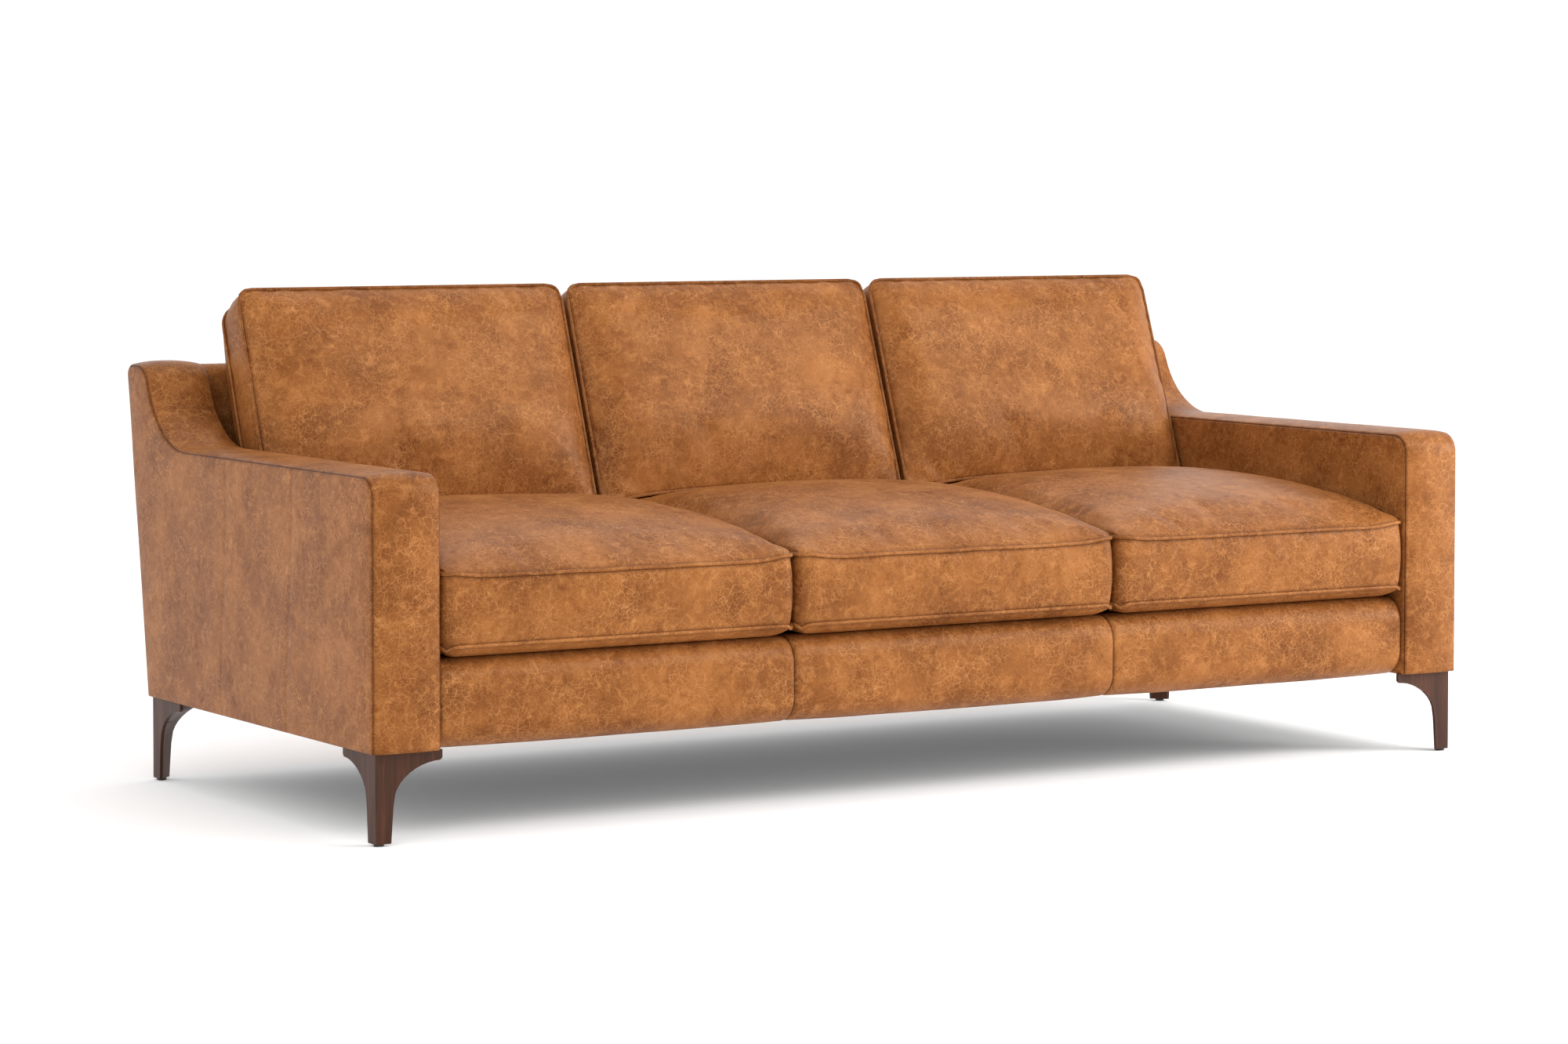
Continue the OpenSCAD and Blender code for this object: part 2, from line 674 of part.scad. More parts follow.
// The zip lies on a straight part of the rear panel, low down and clear of the seat cushion.
function rear_point(i) = let (s = i / 10)
    [boxing_d + rear_swell * crown(2 * s - 1), s * (back_cushion_h - back_corner_r)];
zip_low = rear_point(2);
zip_high = rear_point(3);
zip_mid = (zip_low + zip_high) / 2;
zip_lean = atan2(zip_high[1] - zip_low[1], zip_high[0] - zip_low[0]);
module on_back_rear(i) {
    placed() translate([seat_x[i], 0, 0]) leaning() translate([0, zip_mid[0], zip_mid[1]])
        rotate([zip_lean + 180, 0, 0]) children();
}
module back_zip(i) { color(black) on_back_rear(i) zip_strip(); }
module back_pull(i) { color(steel) on_back_rear(i) slider(); }
module back_zip_left() { back_zip(0); }
module back_zip_centre() { back_zip(1); }
module back_zip_right() { back_zip(2); }
module back_pull_left() { back_pull(0); }
module back_pull_centre() { back_pull(1); }
module back_pull_right() { back_pull(2); }

leg_front_left();
leg_front_right();
leg_rear_left();
leg_rear_right();
glides();
leg_bolts();
leg_nuts();
front_rail();
back_rail();
cross_rails();
seat_springs();
spring_clips();
deck_pad();
deck_cloth();
dust_cover();
arm_panels_left();
arm_panels_right();
arm_posts_left();
arm_posts_right();
arm_foam_left();
arm_foam_right();
arm_boxing_left();
arm_boxing_right();
arm_outer_cover_left();
arm_outer_cover_right();
arm_inner_cover_left();
arm_inner_cover_right();
rail_foam();
rail_cover_left();
rail_cover_centre();
rail_cover_right();
back_frame();
back_webbing();
back_foam();
inside_back_cover();
outside_back_cover();
seat_cover_left();
seat_cover_centre();
seat_cover_right();
seat_core_left();
seat_core_centre();
seat_core_right();
seat_zip_left();
seat_zip_centre();
seat_zip_right();
seat_pull_left();
seat_pull_centre();
seat_pull_right();
back_cover_left();
back_cover_centre();
back_cover_right();
back_core_left();
back_core_centre();
back_core_right();
back_zip_left();
back_zip_centre();
back_zip_right();
back_pull_left();
back_pull_centre();
back_pull_right();
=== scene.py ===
"""Looks of the three-seat leather sofa with wooden legs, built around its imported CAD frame.

Metres, +Z up, the front faces -Y. Side outlines are [y, z] with y = 0 at the front of the arms.
"""

import math

import bmesh
import bpy
import numpy as np
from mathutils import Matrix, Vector, noise


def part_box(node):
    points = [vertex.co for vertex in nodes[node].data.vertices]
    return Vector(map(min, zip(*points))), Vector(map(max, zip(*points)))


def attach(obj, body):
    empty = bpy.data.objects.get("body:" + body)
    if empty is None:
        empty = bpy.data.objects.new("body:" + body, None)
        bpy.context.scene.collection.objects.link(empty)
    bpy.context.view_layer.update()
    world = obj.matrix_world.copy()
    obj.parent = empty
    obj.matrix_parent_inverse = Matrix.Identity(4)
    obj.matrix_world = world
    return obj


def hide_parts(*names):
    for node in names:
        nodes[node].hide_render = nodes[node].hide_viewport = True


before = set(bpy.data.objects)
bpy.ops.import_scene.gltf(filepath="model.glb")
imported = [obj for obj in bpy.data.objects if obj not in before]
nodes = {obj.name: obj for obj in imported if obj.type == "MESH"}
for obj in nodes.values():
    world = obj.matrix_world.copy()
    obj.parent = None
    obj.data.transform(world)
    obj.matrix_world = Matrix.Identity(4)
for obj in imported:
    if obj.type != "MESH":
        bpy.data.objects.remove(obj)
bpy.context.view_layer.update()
scene = bpy.context.scene
MM = 0.001
QUARTER = math.pi / 2
SEATS = ("left", "centre", "right")

# ---- sizes, from the frame's boxes and the shared outline values ----

arm_low, arm_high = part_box("arm_boxing_left")
front_y = arm_low.y  # the arms' face
half_w = -arm_low.x
inner_x = -arm_high.x  # inner face of an arm
base_z = arm_low.z
back_top_z = arm_high.z
seat_low, seat_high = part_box("seat_cover_centre")
seat_w = seat_high.x - seat_low.x
seat_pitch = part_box("seat_cover_right")[0].x - seat_low.x
seat_rest_z = seat_low.z
seat_crown_z = seat_high.z
seat_rear_y = seat_high.y - front_y
rail_low, rail_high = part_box("rail_cover_centre")
rail_end_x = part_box("rail_cover_right")[1].x + 3 * MM  # the pads press against the arms

ARM_H = 592 * MM  # top of an arm's level part
ARM_CORNER_R = 32 * MM
SWEEP_Y = 745 * MM  # where the arm's top begins to sweep up to the back
SWEEP_R = 172 * MM
SHOULDER_R = 48 * MM  # the rounding at the head of the sweep
SWEEP_TURN = math.radians(69.4)
FOOT_D = 911 * MM  # depth of the sides at their foot
BACK_RAKE = math.radians(8.5)
REAR_CORNER_R = 15 * MM
INSIDE_Y = 862 * MM  # depth of the inside back's face at the height INSIDE_Z
INSIDE_Z = 294 * MM
INSIDE_RAKE = math.radians(10.3)
INSIDE_R = 22 * MM
RAIL_R = 44 * MM  # rounding of the front rail's long edges

SEAM = 2.2 * MM  # how deep two panels roll in to their seam
ROLL = 4.5 * MM  # where the roll begins, from the corner
SHADE = 1.1 * MM  # how fast the painted shade beside a seam fades
SKIN = 1.2 * MM  # thickness of the leather


# ---- small mesh tools ----


def in_scene(name, data):
    """A new object with this data, linked to the scene."""
    obj = bpy.data.objects.new(name, data)
    scene.collection.objects.link(obj)
    return obj


def piece(name, points, faces, body, material, smooth=True, seam=None):
    """A mesh object of these points and faces, riding on a CAD body."""
    mesh = bpy.data.meshes.new(name)
    mesh.from_pydata([tuple(p) for p in points], [], faces)
    mesh.validate()
    mesh.polygons.foreach_set("use_smooth", [smooth] * len(mesh.polygons))
    mesh.materials.append(material)
    # seam, if given, is painted shade beside the seams, stored for the leather material
    if seam is not None:
        mesh.attributes.new("seam", "FLOAT", "POINT").data.foreach_set(
            "value", np.asarray(seam, np.float32))
    obj = in_scene(name, mesh)
    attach(obj, body)
    return obj


def thicken(obj, thickness):
    """Closes an open skin by giving it a thickness behind its outside."""
    m = obj.modifiers.new("thickness", "SOLIDIFY")
    m.thickness = thickness
    m.offset = -1
    return obj


def smoother(obj):
    """Rounds a cushion's grid off with one level of subdivision."""
    m = obj.modifiers.new("smoother", "SUBSURF")
    m.levels = m.render_levels = 1


def grid_faces(rows, cols, flip=False):
    """Quads of a grid of rows x cols points numbered row by row."""
    out = []
    for r in range(rows - 1):
        for c in range(cols - 1):
            a = r * cols + c
            quad = (a, a + 1, a + cols + 1, a + cols)
            out.append(quad[::-1] if flip else quad)
    return out


def ring_places(nu, nv):
    """Grid places (i, j) round the edge of a grid of nu x nv quads, in order."""
    ring = [(i, 0) for i in range(nu)] + [(nu, j) for j in range(nv)]
    return ring + [(i, nv) for i in range(nu, 0, -1)] + [(0, j) for j in range(nv, 0, -1)]


def arc(centre, radius, start, end, n):
    """Points of an arc in the side view; angles in radians."""
    a = np.linspace(start, end, n)
    return np.stack([centre[0] + radius * np.cos(a), centre[1] + radius * np.sin(a)], 1)


def run_length(points):
    """Distance along a line at each of its points."""
    return np.concatenate([[0], np.cumsum(np.linalg.norm(np.diff(points, axis=0), axis=1))])


def at_lengths(points, length, at):
    """Points, or values along a line, at these distances; length is its run_length."""
    return np.stack([np.interp(at, length, points[:, k]) for k in range(points.shape[1])], 1)


def resample(points, step):
    """The same line with its points spaced evenly, about step apart."""
    length = run_length(points)
    n = max(2, int(round(length[-1] / step)) + 1)
    return at_lengths(points, length, np.linspace(0, length[-1], n))


def along_line(points, share):
    """Points at these shares, 0 to 1, of a line's length."""
    length = run_length(points)
    return at_lengths(points, length, share * length[-1])


def unit(vectors):
    """The same directions, one unit long."""
    return vectors / np.linalg.norm(vectors, axis=1)[:, None]


def normals_2d(points):
    """Unit normals of an open line in the side view, to the left of its direction."""
    d = unit(np.gradient(points, axis=0))
    return np.stack([-d[:, 1], d[:, 0]], 1)


def near_ends(length, fine, step):
    """Distances along a line of this length: the fine ones at both ends, even steps between."""
    inner = length - 2 * fine[-1]
    n = max(1, int(round(inner / step)))
    middle = fine[-1] + inner * np.arange(1, n) / n
    return np.concatenate([fine, middle, (length - np.asarray(fine))[::-1]])


def near_joins(joins, fine, step):
    """Places from the first join to the last, with the fine ones on both sides of each."""
    places = [joins[0]]
    for a, b in zip(joins[:-1], joins[1:]):
        places += list(a + near_ends(b - a, fine, step))[1:]
    return np.array(places)


def soft_noise(x, y, z, size, seed=0):
    """Smooth noise, -1 to 1, at points in metres; size is the width of its bumps."""
    s = 1.0 / size
    off = Vector((seed * 7.31, seed * 3.17, seed * 1.93))
    return np.array([noise.noise(Vector((a * s, b * s, c * s)) + off)
                     for a, b, c in zip(np.ravel(x), np.ravel(y), np.ravel(z))]).reshape(np.shape(x))


def roll_in(distance):
    """How far a panel sinks at this distance from the corner that it shares with its neighbour."""
    t = np.clip((ROLL - distance) / (ROLL - SEAM), 0, 1)
    return SEAM * t ** 2


def shade_near(distance):
    """Painted shade on the leather beside a seam, 1 to 0, by the distance from the seam's edge."""
    return np.exp(-distance / SHADE)


FINE = np.array([0, 0.5, 1.1, 1.9, 3.2, 6.0, 12.0, 22.0]) * MM  # rows beside a seam


# ---- materials ----


def new_material(name):
    m = bpy.data.materials.new(name)
    m.use_nodes = True
    tree = m.node_tree
    shader = tree.nodes["Principled BSDF"]
    return m, tree, shader


def add(tree, kind, links=(), **values):
    """A shader node with these settings, and links as (input name or index, source socket)."""
    n = tree.nodes.new("ShaderNode" + kind)
    for key, value in values.items():
        if hasattr(n, key):
            setattr(n, key, value)
        else:
            n.inputs[key.replace("_", " ")].default_value = value
    for socket, source in links:
        tree.links.new(source, n.inputs[socket])
    return n


def ramp(tree, source, stops):
    """A colour ramp over a value; stops are (place, colour)."""
    n = add(tree, "ValToRGB", [("Fac", source)])
    e = n.color_ramp.elements
    while len(e) < len(stops):
        e.new(0.5)
    for element, (place, colour) in zip(e, stops):
        element.position = place
        element.color = (*colour, 1) if len(colour) == 3 else (colour[0],) * 3 + (1,)
    return n.outputs["Color"]


def mix(tree, kind, share, a, b):
    """Two colours mixed; share is a number or a socket."""
    n = add(tree, "Mix", data_type="RGBA", blend_type=kind)
    for socket, value in ((0, share), (6, a), (7, b)):
        if hasattr(value, "default_value") and not isinstance(value, (float, int, tuple)):
            tree.links.new(value, n.inputs[socket])
        else:
            n.inputs[socket].default_value = value if socket == 0 else (*value, 1)
    return n.outputs[2]


def vary_roughness(tree, shader, source, at_low, at_high):
    """Roughness that goes from one level to another as the source goes from 0 to 1."""
    level = add(tree, "MapRange", [("Value", source)])
    level.inputs["To Min"].default_value = at_low
    level.inputs["To Max"].default_value = at_high
    tree.links.new(level.outputs[0], shader.inputs["Roughness"])


def add_bump(tree, shader, source, strength, depth, over=None, invert=False):
    """Relief of this depth in metres that follows the source, over an earlier relief."""
    links = [("Height", source)] if over is None else [("Height", source), ("Normal", over)]
    bump = add(tree, "Bump", links, Strength=strength, Distance=depth, invert=invert)
    tree.links.new(bump.outputs[0], shader.inputs["Normal"])
    return bump.outputs[0]


def set_colour(tree, shader, source):
    tree.links.new(source, shader.inputs["Base Color"])


def textured(name):
    """A new material, with its shader and the socket that gives each point's place in metres."""
    m, tree, shader = new_material(name)
    return m, tree, shader, add(tree, "TexCoord").outputs["Object"]


def cloud(tree, at, scale, detail, rough=0.5, distortion=0.0):
    """Smooth noise, 0 to 1, with about this many bumps to the metre."""
    return add(tree, "TexNoise", [("Vector", at)], Scale=scale, Detail=detail,
               Roughness=rough, Distortion=distortion).outputs["Fac"]


def stretched(tree, at, across, along, axis):
    """Places scaled so that a noise of scale 1 is drawn out along one axis."""
    scale = [across] * 3
    scale[axis] = along
    put = add(tree, "Mapping", [("Vector", at)])
    put.inputs["Scale"].default_value = scale
    return put.outputs[0]


def srgb(r, g, b):
    """A colour given as 0-255 sRGB, in linear light."""
    return tuple(c / 12.92 if c <= 0.04045 else ((c + 0.055) / 1.055) ** 2.4
                 for c in (r / 255, g / 255, b / 255))


def leather_material():
    """Waxed aniline leather: soft clouds, dark smudges, fine pale creases, a pebbled grain and
    painted shade beside the seams.
    """
    m, tree, shader, at = textured("leather")
    clouds = cloud(tree, at, 9.0, 6.0, 0.60, 0.3)
    colour = ramp(tree, clouds, [(0.32, srgb(115, 65, 28)), (0.46, srgb(131, 77, 35)),
                                 (0.56, srgb(143, 87, 42)), (0.70, srgb(159, 100, 52))])
    smudges = cloud(tree, at, 36.0, 3.0, 0.58, 0.4)
    smudge_mask = ramp(tree, smudges, [(0.52, (0,)), (0.72, (1,))])
    colour = mix(tree, "MULTIPLY", smudge_mask, colour, (0.74, 0.63, 0.53))
    pale_mask = ramp(tree, cloud(tree, at, 52.0, 6.0, 0.72, 0.8), [(0.50, (0,)), (0.74, (0.75,))])
    colour = mix(tree, "MIX", pale_mask, colour, srgb(182, 120, 67))
    warp = add(tree, "TexNoise", [("Vector", at)], Scale=38.0, Detail=5.0)
    bent = add(tree, "MixRGB", [(1, at), (2, warp.outputs["Color"])], blend_type="ADD")
    bent.inputs[0].default_value = 0.016
    patches = ramp(tree, cloud(tree, at, 15.0, 5.0, 0.7), [(0.38, (0.10,)), (0.62, (0.58,))])
    creases = []
    for cells, width in ((58.0, 0.030), (125.0, 0.050)):
        crease = add(tree, "TexVoronoi", [("Vector", bent.outputs[0])], Scale=cells,
                     feature="DISTANCE_TO_EDGE").outputs["Distance"]
        creases.append(ramp(tree, crease, [(0.0, (1,)), (width, (0,))]))
        shown = add(tree, "Math", [(0, creases[-1]), (1, patches)], operation="MULTIPLY")
        colour = mix(tree, "MIX", shown.outputs[0], colour, srgb(202, 142, 89))
    grain = add(tree, "TexVoronoi", [("Vector", at)], Scale=430.0,
                feature="F1").outputs["Distance"]
    pores = ramp(tree, grain, [(0.0, (1,)), (0.75, (0.78,))])
    # painted shade beside the seams: the seam attribute darkens the colour towards a deep brown
    seam = add(tree, "Attribute", attribute_name="seam").outputs["Fac"]
    dark = add(tree, "Math", [(0, seam)], operation="MULTIPLY")
    dark.inputs[1].default_value = 0.90
    grained = add(tree, "MixRGB", [(1, colour), (2, pores)], blend_type="MULTIPLY")
    grained.inputs[0].default_value = 0.7
    colour = mix(tree, "MULTIPLY", dark.outputs[0], grained.outputs[0], (0.28, 0.18, 0.13))
    set_colour(tree, shader, colour)
    vary_roughness(tree, shader, smudges, 0.31, 0.45)
    shader.inputs["Specular IOR Level"].default_value = 0.17
    shader.inputs["Specular Tint"].default_value = (1.0, 0.76, 0.52, 1)
    folds = add_bump(tree, shader, creases[0], 0.20, 0.4 * MM, invert=True)
    pebbles = add_bump(tree, shader, grain, 0.34, 0.5 * MM, folds, invert=True)
    add_bump(tree, shader, smudges, 0.12, 2 * MM, pebbles)
    return m


def wood_material(name, dark, mid, light, rough, axis=2):
    """Wood with long grain along one axis, streaks and pores."""
    m, tree, shader, at = textured(name)
    streaks = cloud(tree, stretched(tree, at, 58.0, 5.0, axis), 1.0, 6.0, 0.62, 0.6)
    colour = ramp(tree, streaks, [(0.30, dark), (0.50, mid), (0.70, light)])
    pores = cloud(tree, stretched(tree, at, 520.0, 14.0, axis), 1.0, 2.0)
    colour = mix(tree, "MULTIPLY", ramp(tree, pores, [(0.42, (0.55,)), (0.60, (0,))]), colour,
                 (0.45, 0.38, 0.34))
    set_colour(tree, shader, colour)
    vary_roughness(tree, shader, streaks, rough + 0.08, rough - 0.06)
    add_bump(tree, shader, pores, 0.18, 0.3 * MM)
    return m


def speckled_material(name, low, high, size, rough, bump_depth, metallic=0.0, kind="noise"):
    """An even material with fine speckles: foam, plastic or metal."""
    m, tree, shader, at = textured(name)
    if kind == "cells":
        value = add(tree, "TexVoronoi", [("Vector", at)], Scale=1 / size).outputs["Distance"]
    else:
        value = cloud(tree, at, 1 / size, 4.0, 0.6)
    set_colour(tree, shader, ramp(tree, value, [(0.3, low), (0.7, high)]))
    vary_roughness(tree, shader, value, rough - 0.05, rough + 0.05)
    shader.inputs["Metallic"].default_value = metallic
    add_bump(tree, shader, value, 0.4, bump_depth)
    return m


def woven_material(name, low, high, pitch, rough):
    """A plain weave of two crossing sets of threads."""
    m, tree, shader, at = textured(name)
    sets = []
    for direction in ("X", "Y"):
        wave = add(tree, "TexWave", [("Vector", at)], Scale=math.pi / (10 * pitch),
                   Distortion=0.4, wave_type="BANDS", bands_direction=direction)
        sets.append(wave.outputs["Fac"])
    both = add(tree, "Math", [(0, sets[0]), (1, sets[1])], operation="MULTIPLY")
    fuzz = cloud(tree, at, 90.0, 4.0)
    total = add(tree, "Math", [(0, both.outputs[0]), (1, fuzz)], operation="ADD")
    half = add(tree, "Math", [(0, total.outputs[0])], operation="MULTIPLY")
    half.inputs[1].default_value = 0.5
    set_colour(tree, shader, ramp(tree, half.outputs[0], [(0.2, low), (0.75, high)]))
    vary_roughness(tree, shader, fuzz, rough - 0.06, rough + 0.06)
    add_bump(tree, shader, both.outputs[0], 0.5, 0.4 * MM)
    return m


def zip_material():
    """Woven tape with a row of metal teeth along its middle."""
    m, tree, shader, at = textured("zip_tape")
    teeth = add(tree, "TexWave", [("Vector", at)], Scale=math.pi / (10 * 2.6 * MM),
                wave_type="BANDS", bands_direction="X").outputs["Fac"]
    set_colour(tree, shader,
               ramp(tree, teeth, [(0.42, srgb(56, 36, 24)), (0.58, srgb(112, 82, 46))]))
    tree.links.new(ramp(tree, teeth, [(0.42, (0.80,)), (0.58, (0.55,))]),
                   shader.inputs["Roughness"])
    add_bump(tree, shader, teeth, 0.6, 0.6 * MM)
    shader.inputs["Specular IOR Level"].default_value = 0.25
    return m


leather = leather_material()


def leather_piece(name, points, faces, body, seam):
    """A leather piece riding on a CAD body; seam is how much painted shade darkens each point beside
    a seam, 0 to 1.
    """
    return piece(name, points, faces, body, leather, seam=seam)


walnut = wood_material("walnut", srgb(38, 17, 11), srgb(60, 30, 20), srgb(84, 46, 32), 0.44)
walnut_shader = walnut.node_tree.nodes["Principled BSDF"]
walnut_shader.inputs["Specular Tint"].default_value = (1.0, 0.74, 0.58, 1)
walnut_shader.inputs["Specular IOR Level"].default_value = 0.38
timber = wood_material("frame_timber", srgb(168, 132, 88), srgb(196, 160, 112),
                       srgb(214, 182, 138), 0.6, axis=0)
plywood = wood_material("frame_plywood", srgb(186, 150, 104), srgb(206, 174, 128),
                        srgb(222, 194, 152), 0.62, axis=1)
foam = speckled_material("foam", srgb(214, 200, 152), srgb(236, 226, 186), 2.5 * MM, 0.9,
                         0.0006, kind="cells")
zinc = speckled_material("zinc_steel", srgb(140, 142, 146), srgb(182, 184, 188), 4 * MM, 0.34,
                         0.0001, metallic=1.0)
spring_steel = speckled_material("spring_steel", srgb(70, 70, 74), srgb(104, 104, 108), 6 * MM,
                                 0.4, 0.0001, metallic=1.0)
glide_plastic = speckled_material("glide_plastic", srgb(22, 21, 21), srgb(38, 36, 35), 3 * MM,
                                  0.5, 0.0002)
deck_weave = woven_material("deck_cloth", srgb(44, 31, 22), srgb(78, 57, 41), 1.4 * MM, 0.85)
dust_weave = woven_material("dust_cloth", srgb(16, 16, 17), srgb(40, 40, 42), 1.1 * MM, 0.9)
web_weave = woven_material("webbing", srgb(30, 27, 24), srgb(70, 62, 52), 2.2 * MM, 0.8)
zip_tape = zip_material()
zip_metal = speckled_material("zip_metal", srgb(140, 112, 66), srgb(176, 146, 94), 3 * MM, 0.32,
                              0.0001, metallic=1.0)

NODE_MATERIALS = (
    ("leg_bolts", zinc), ("leg_nuts", zinc), ("leg_", walnut), ("glides", glide_plastic),
    ("front_rail", timber), ("back_rail", timber), ("cross_rails", timber),
    ("arm_posts", timber), ("back_frame", timber), ("arm_panels", plywood),
    ("seat_springs", spring_steel), ("spring_clips", zinc), ("deck_pad", foam),
    ("arm_foam", foam), ("rail_foam", foam), ("back_foam", foam), ("seat_core", foam),
    ("back_core", foam), ("deck_cloth", deck_weave), ("dust_cover", dust_weave),
    ("back_webbing", web_weave), ("seat_zip", zip_tape), ("back_zip", zip_tape),
    ("seat_pull", zip_metal), ("back_pull", zip_metal),
)
for node_name, node in nodes.items():
    found = [m for start, m in NODE_MATERIALS if node_name.startswith(start)]
    node.data.materials.clear()
    node.data.materials.append(found[0] if found else leather)


# ---- side outlines ----


def rear_y(z, t=0.0):
    """Depth of the sofa's rear face at a height, moved in by t."""
    return FOOT_D + (z - base_z) * math.tan(BACK_RAKE) - t / math.cos(BACK_RAKE)


def inside_y(z):
    """Depth of the inside back's face at a height."""
    return INSIDE_Y + (z - INSIDE_Z) * math.tan(INSIDE_RAKE)


rear_c_z = back_top_z - REAR_CORNER_R
REAR_C = (rear_y(rear_c_z) - REAR_CORNER_R / math.cos(BACK_RAKE), rear_c_z)
SHOULDER_C = (SWEEP_Y + (SWEEP_R + SHOULDER_R) * math.sin(SWEEP_TURN), back_top_z - SHOULDER_R)


def arm_line(t):
    """The arm's outline from its front foot over the top to the rear corner, moved in by t."""
    return np.concatenate([
        [(t, base_z)],
        arc((ARM_CORNER_R, ARM_H - ARM_CORNER_R), ARM_CORNER_R - t, 2 * QUARTER, QUARTER, 10),
        arc((SWEEP_Y, ARM_H + SWEEP_R), SWEEP_R + t, 3 * QUARTER, 3 * QUARTER + SWEEP_TURN, 24),
        arc(SHOULDER_C, SHOULDER_R - t, QUARTER + SWEEP_TURN, QUARTER, 12),
        arc(REAR_C, REAR_CORNER_R - t, QUARTER, -BACK_RAKE, 8)])


def placed(points):
    """Points drawn with y = 0 at the arms' face, in the sofa's frame."""
    points = np.array(points, float)
    points[:, 1] += front_y
    return points


# ---- arms ----


def edge_distance(points, line):
    """Distance of each 2-D point from a polyline."""
    a, b = line[:-1], line[1:]
    d = b - a
    length = np.maximum((d ** 2).sum(1), 1e-12)
    best = np.full(len(points), 1e9)
    for start, vec, sq in zip(a, d, length):
        t = np.clip(((points - start) @ vec) / sq, 0, 1)
        gap = np.linalg.norm(points - (start + t[:, None] * vec), axis=1)
        best = np.minimum(best, gap)
    return best


PANEL_ROWS_H = 430 * MM  # height over which an arm panel's rows are spread
PANEL_JOINS = (0.34, 0.63)  # the outer panel's two joins, as shares of its depth


def side_panel(name, side, outer):
    """The flat leather panel on an arm's outer or inner side, rolled in to its seams."""
    top = resample(arm_line(SEAM), 3 * MM)
    start = int(np.argmin(np.abs(top[:, 1] - (ARM_H - ARM_CORNER_R))))
    top = top[start:]
    foot_len = rear_y(base_z, SEAM) - SEAM
    cols = near_ends(1.0, FINE / foot_len, (5 if outer else 14) * MM / foot_len)
    upper = along_line(top, cols)
    lower = np.stack([SEAM + cols * foot_len, np.full(len(cols), base_z)], 1)
    rows = near_ends(PANEL_ROWS_H, FINE, 14 * MM) / PANEL_ROWS_H
    grid = lower[None] * (1 - rows)[:, None, None] + upper[None] * rows[:, None, None]
    flat = grid.reshape(-1, 2)
    outline = np.concatenate([arm_line(0.0), [(rear_y(base_z), base_z)]])
    to_seam = edge_distance(flat, outline)
    to_foot = flat[:, 1] - base_z + SEAM
    puff_size = 2.4 * MM if outer else 0.6 * MM
    near = np.minimum(to_seam, to_foot)
    puff = puff_size * (1 - np.exp(-np.maximum(near - ROLL, 0) / (26 * MM)))
    ripple = soft_noise(flat[:, 0], flat[:, 1], flat[:, 0] * 0, 190 * MM, 3 + side) * 0.9 * MM
    # joins: painted shade in the grooves of the outer panel's two joins
    joins = np.zeros(len(flat))
    if outer:
        for share in PANEL_JOINS:
            line_y = share * FOOT_D + 12 * MM * np.sin(flat[:, 1] * 9)
            gap = flat[:, 0] - line_y
            puff = puff - 0.9 * MM * np.exp(-(gap / (5 * MM)) ** 2)
            joins = np.maximum(joins, 0.30 * np.exp(-(gap / (3.5 * MM)) ** 2))
    depth = roll_in(near) - puff - (ripple if outer else 0.2 * ripple)
    x = half_w - depth if outer else inner_x + depth
    # seam: painted shade beside the seams and in the joins
    seam = np.maximum(joins, shade_near(np.maximum(to_seam - SEAM, 0)))
    points = np.stack([side * x, flat[:, 0], flat[:, 1]], 1)
    faces = grid_faces(len(rows), len(cols), flip=(side > 0) == outer)
    return thicken(leather_piece(name, placed(points), faces, "frame", seam), SKIN)


STRIP_CREST = 6.5 * MM  # how far the padding lifts the middle of an arm's strip


def arm_strip(name, side):
    """The boxing strip over the front, the top and the sweep of an arm, crowned between its seams."""
    line = resample(arm_line(0.0), 7 * MM)
    foot = np.array([[line[0, 0], base_z]])
    line = np.concatenate([foot, line[1:]])
    out = normals_2d(line)
    width = half_w - inner_x
    across = near_ends(width - 2 * SEAM, FINE, 11 * MM) + SEAM
    share = across / width
    crest = STRIP_CREST * (1 - np.abs(2 * share - 1) ** 2.6)
    edge = np.minimum(across, width - across)
    lift = crest - roll_in(edge)
    points = []
    for p, n in zip(line, out):
        for a, h in zip(across, lift):
            points.append((side * (half_w - a), p[0] + n[0] * h, p[1] + n[1] * h))
    points = np.array(points)
    points[:len(across), 2] = base_z
    ripple = soft_noise(points[:, 0], points[:, 1], points[:, 2], 120 * MM, 8 + side)
    near_seam = np.tile(edge, len(line))
    normal = np.repeat(out, len(across), axis=0)
    wave = ripple * 0.8 * MM * np.clip(near_seam / (15 * MM), 0, 1)
    points[:, 1] += normal[:, 0] * wave
    points[:, 2] += normal[:, 1] * wave
    points[:, 2] = np.maximum(points[:, 2], base_z)
    # painted shade beside the strip's seams
    seam = shade_near(np.maximum(near_seam - SEAM, 0))
    faces = grid_faces(len(line), len(across), flip=side < 0)
    return thicken(leather_piece(name, placed(points), faces, "frame", seam), SKIN)


for side_name, side in (("left", -1), ("right", 1)):
    for face in ("outer", "inner"):
        panel = side_panel("arm_%s_panel_%s" % (face, side_name), side, face == "outer")
        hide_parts("arm_%s_cover_%s" % (face, side_name))
    strip = arm_strip("arm_strip_" + side_name, side)
    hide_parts("arm_boxing_" + side_name)


LEG_EDGE = 1.4 * MM  # the sanded edges of the legs
for name, node in nodes.items():
    if name.startswith("leg_") and not name.startswith(("leg_bolts", "leg_nuts")):
        edge = node.modifiers.new("edge", "BEVEL")
        edge.width = LEG_EDGE
        edge.segments = 3
        edge.limit_method = "ANGLE"
        edge.angle_limit = math.radians(38)
        edge.harden_normals = True


# ---- front rail, inside back and outside back ----


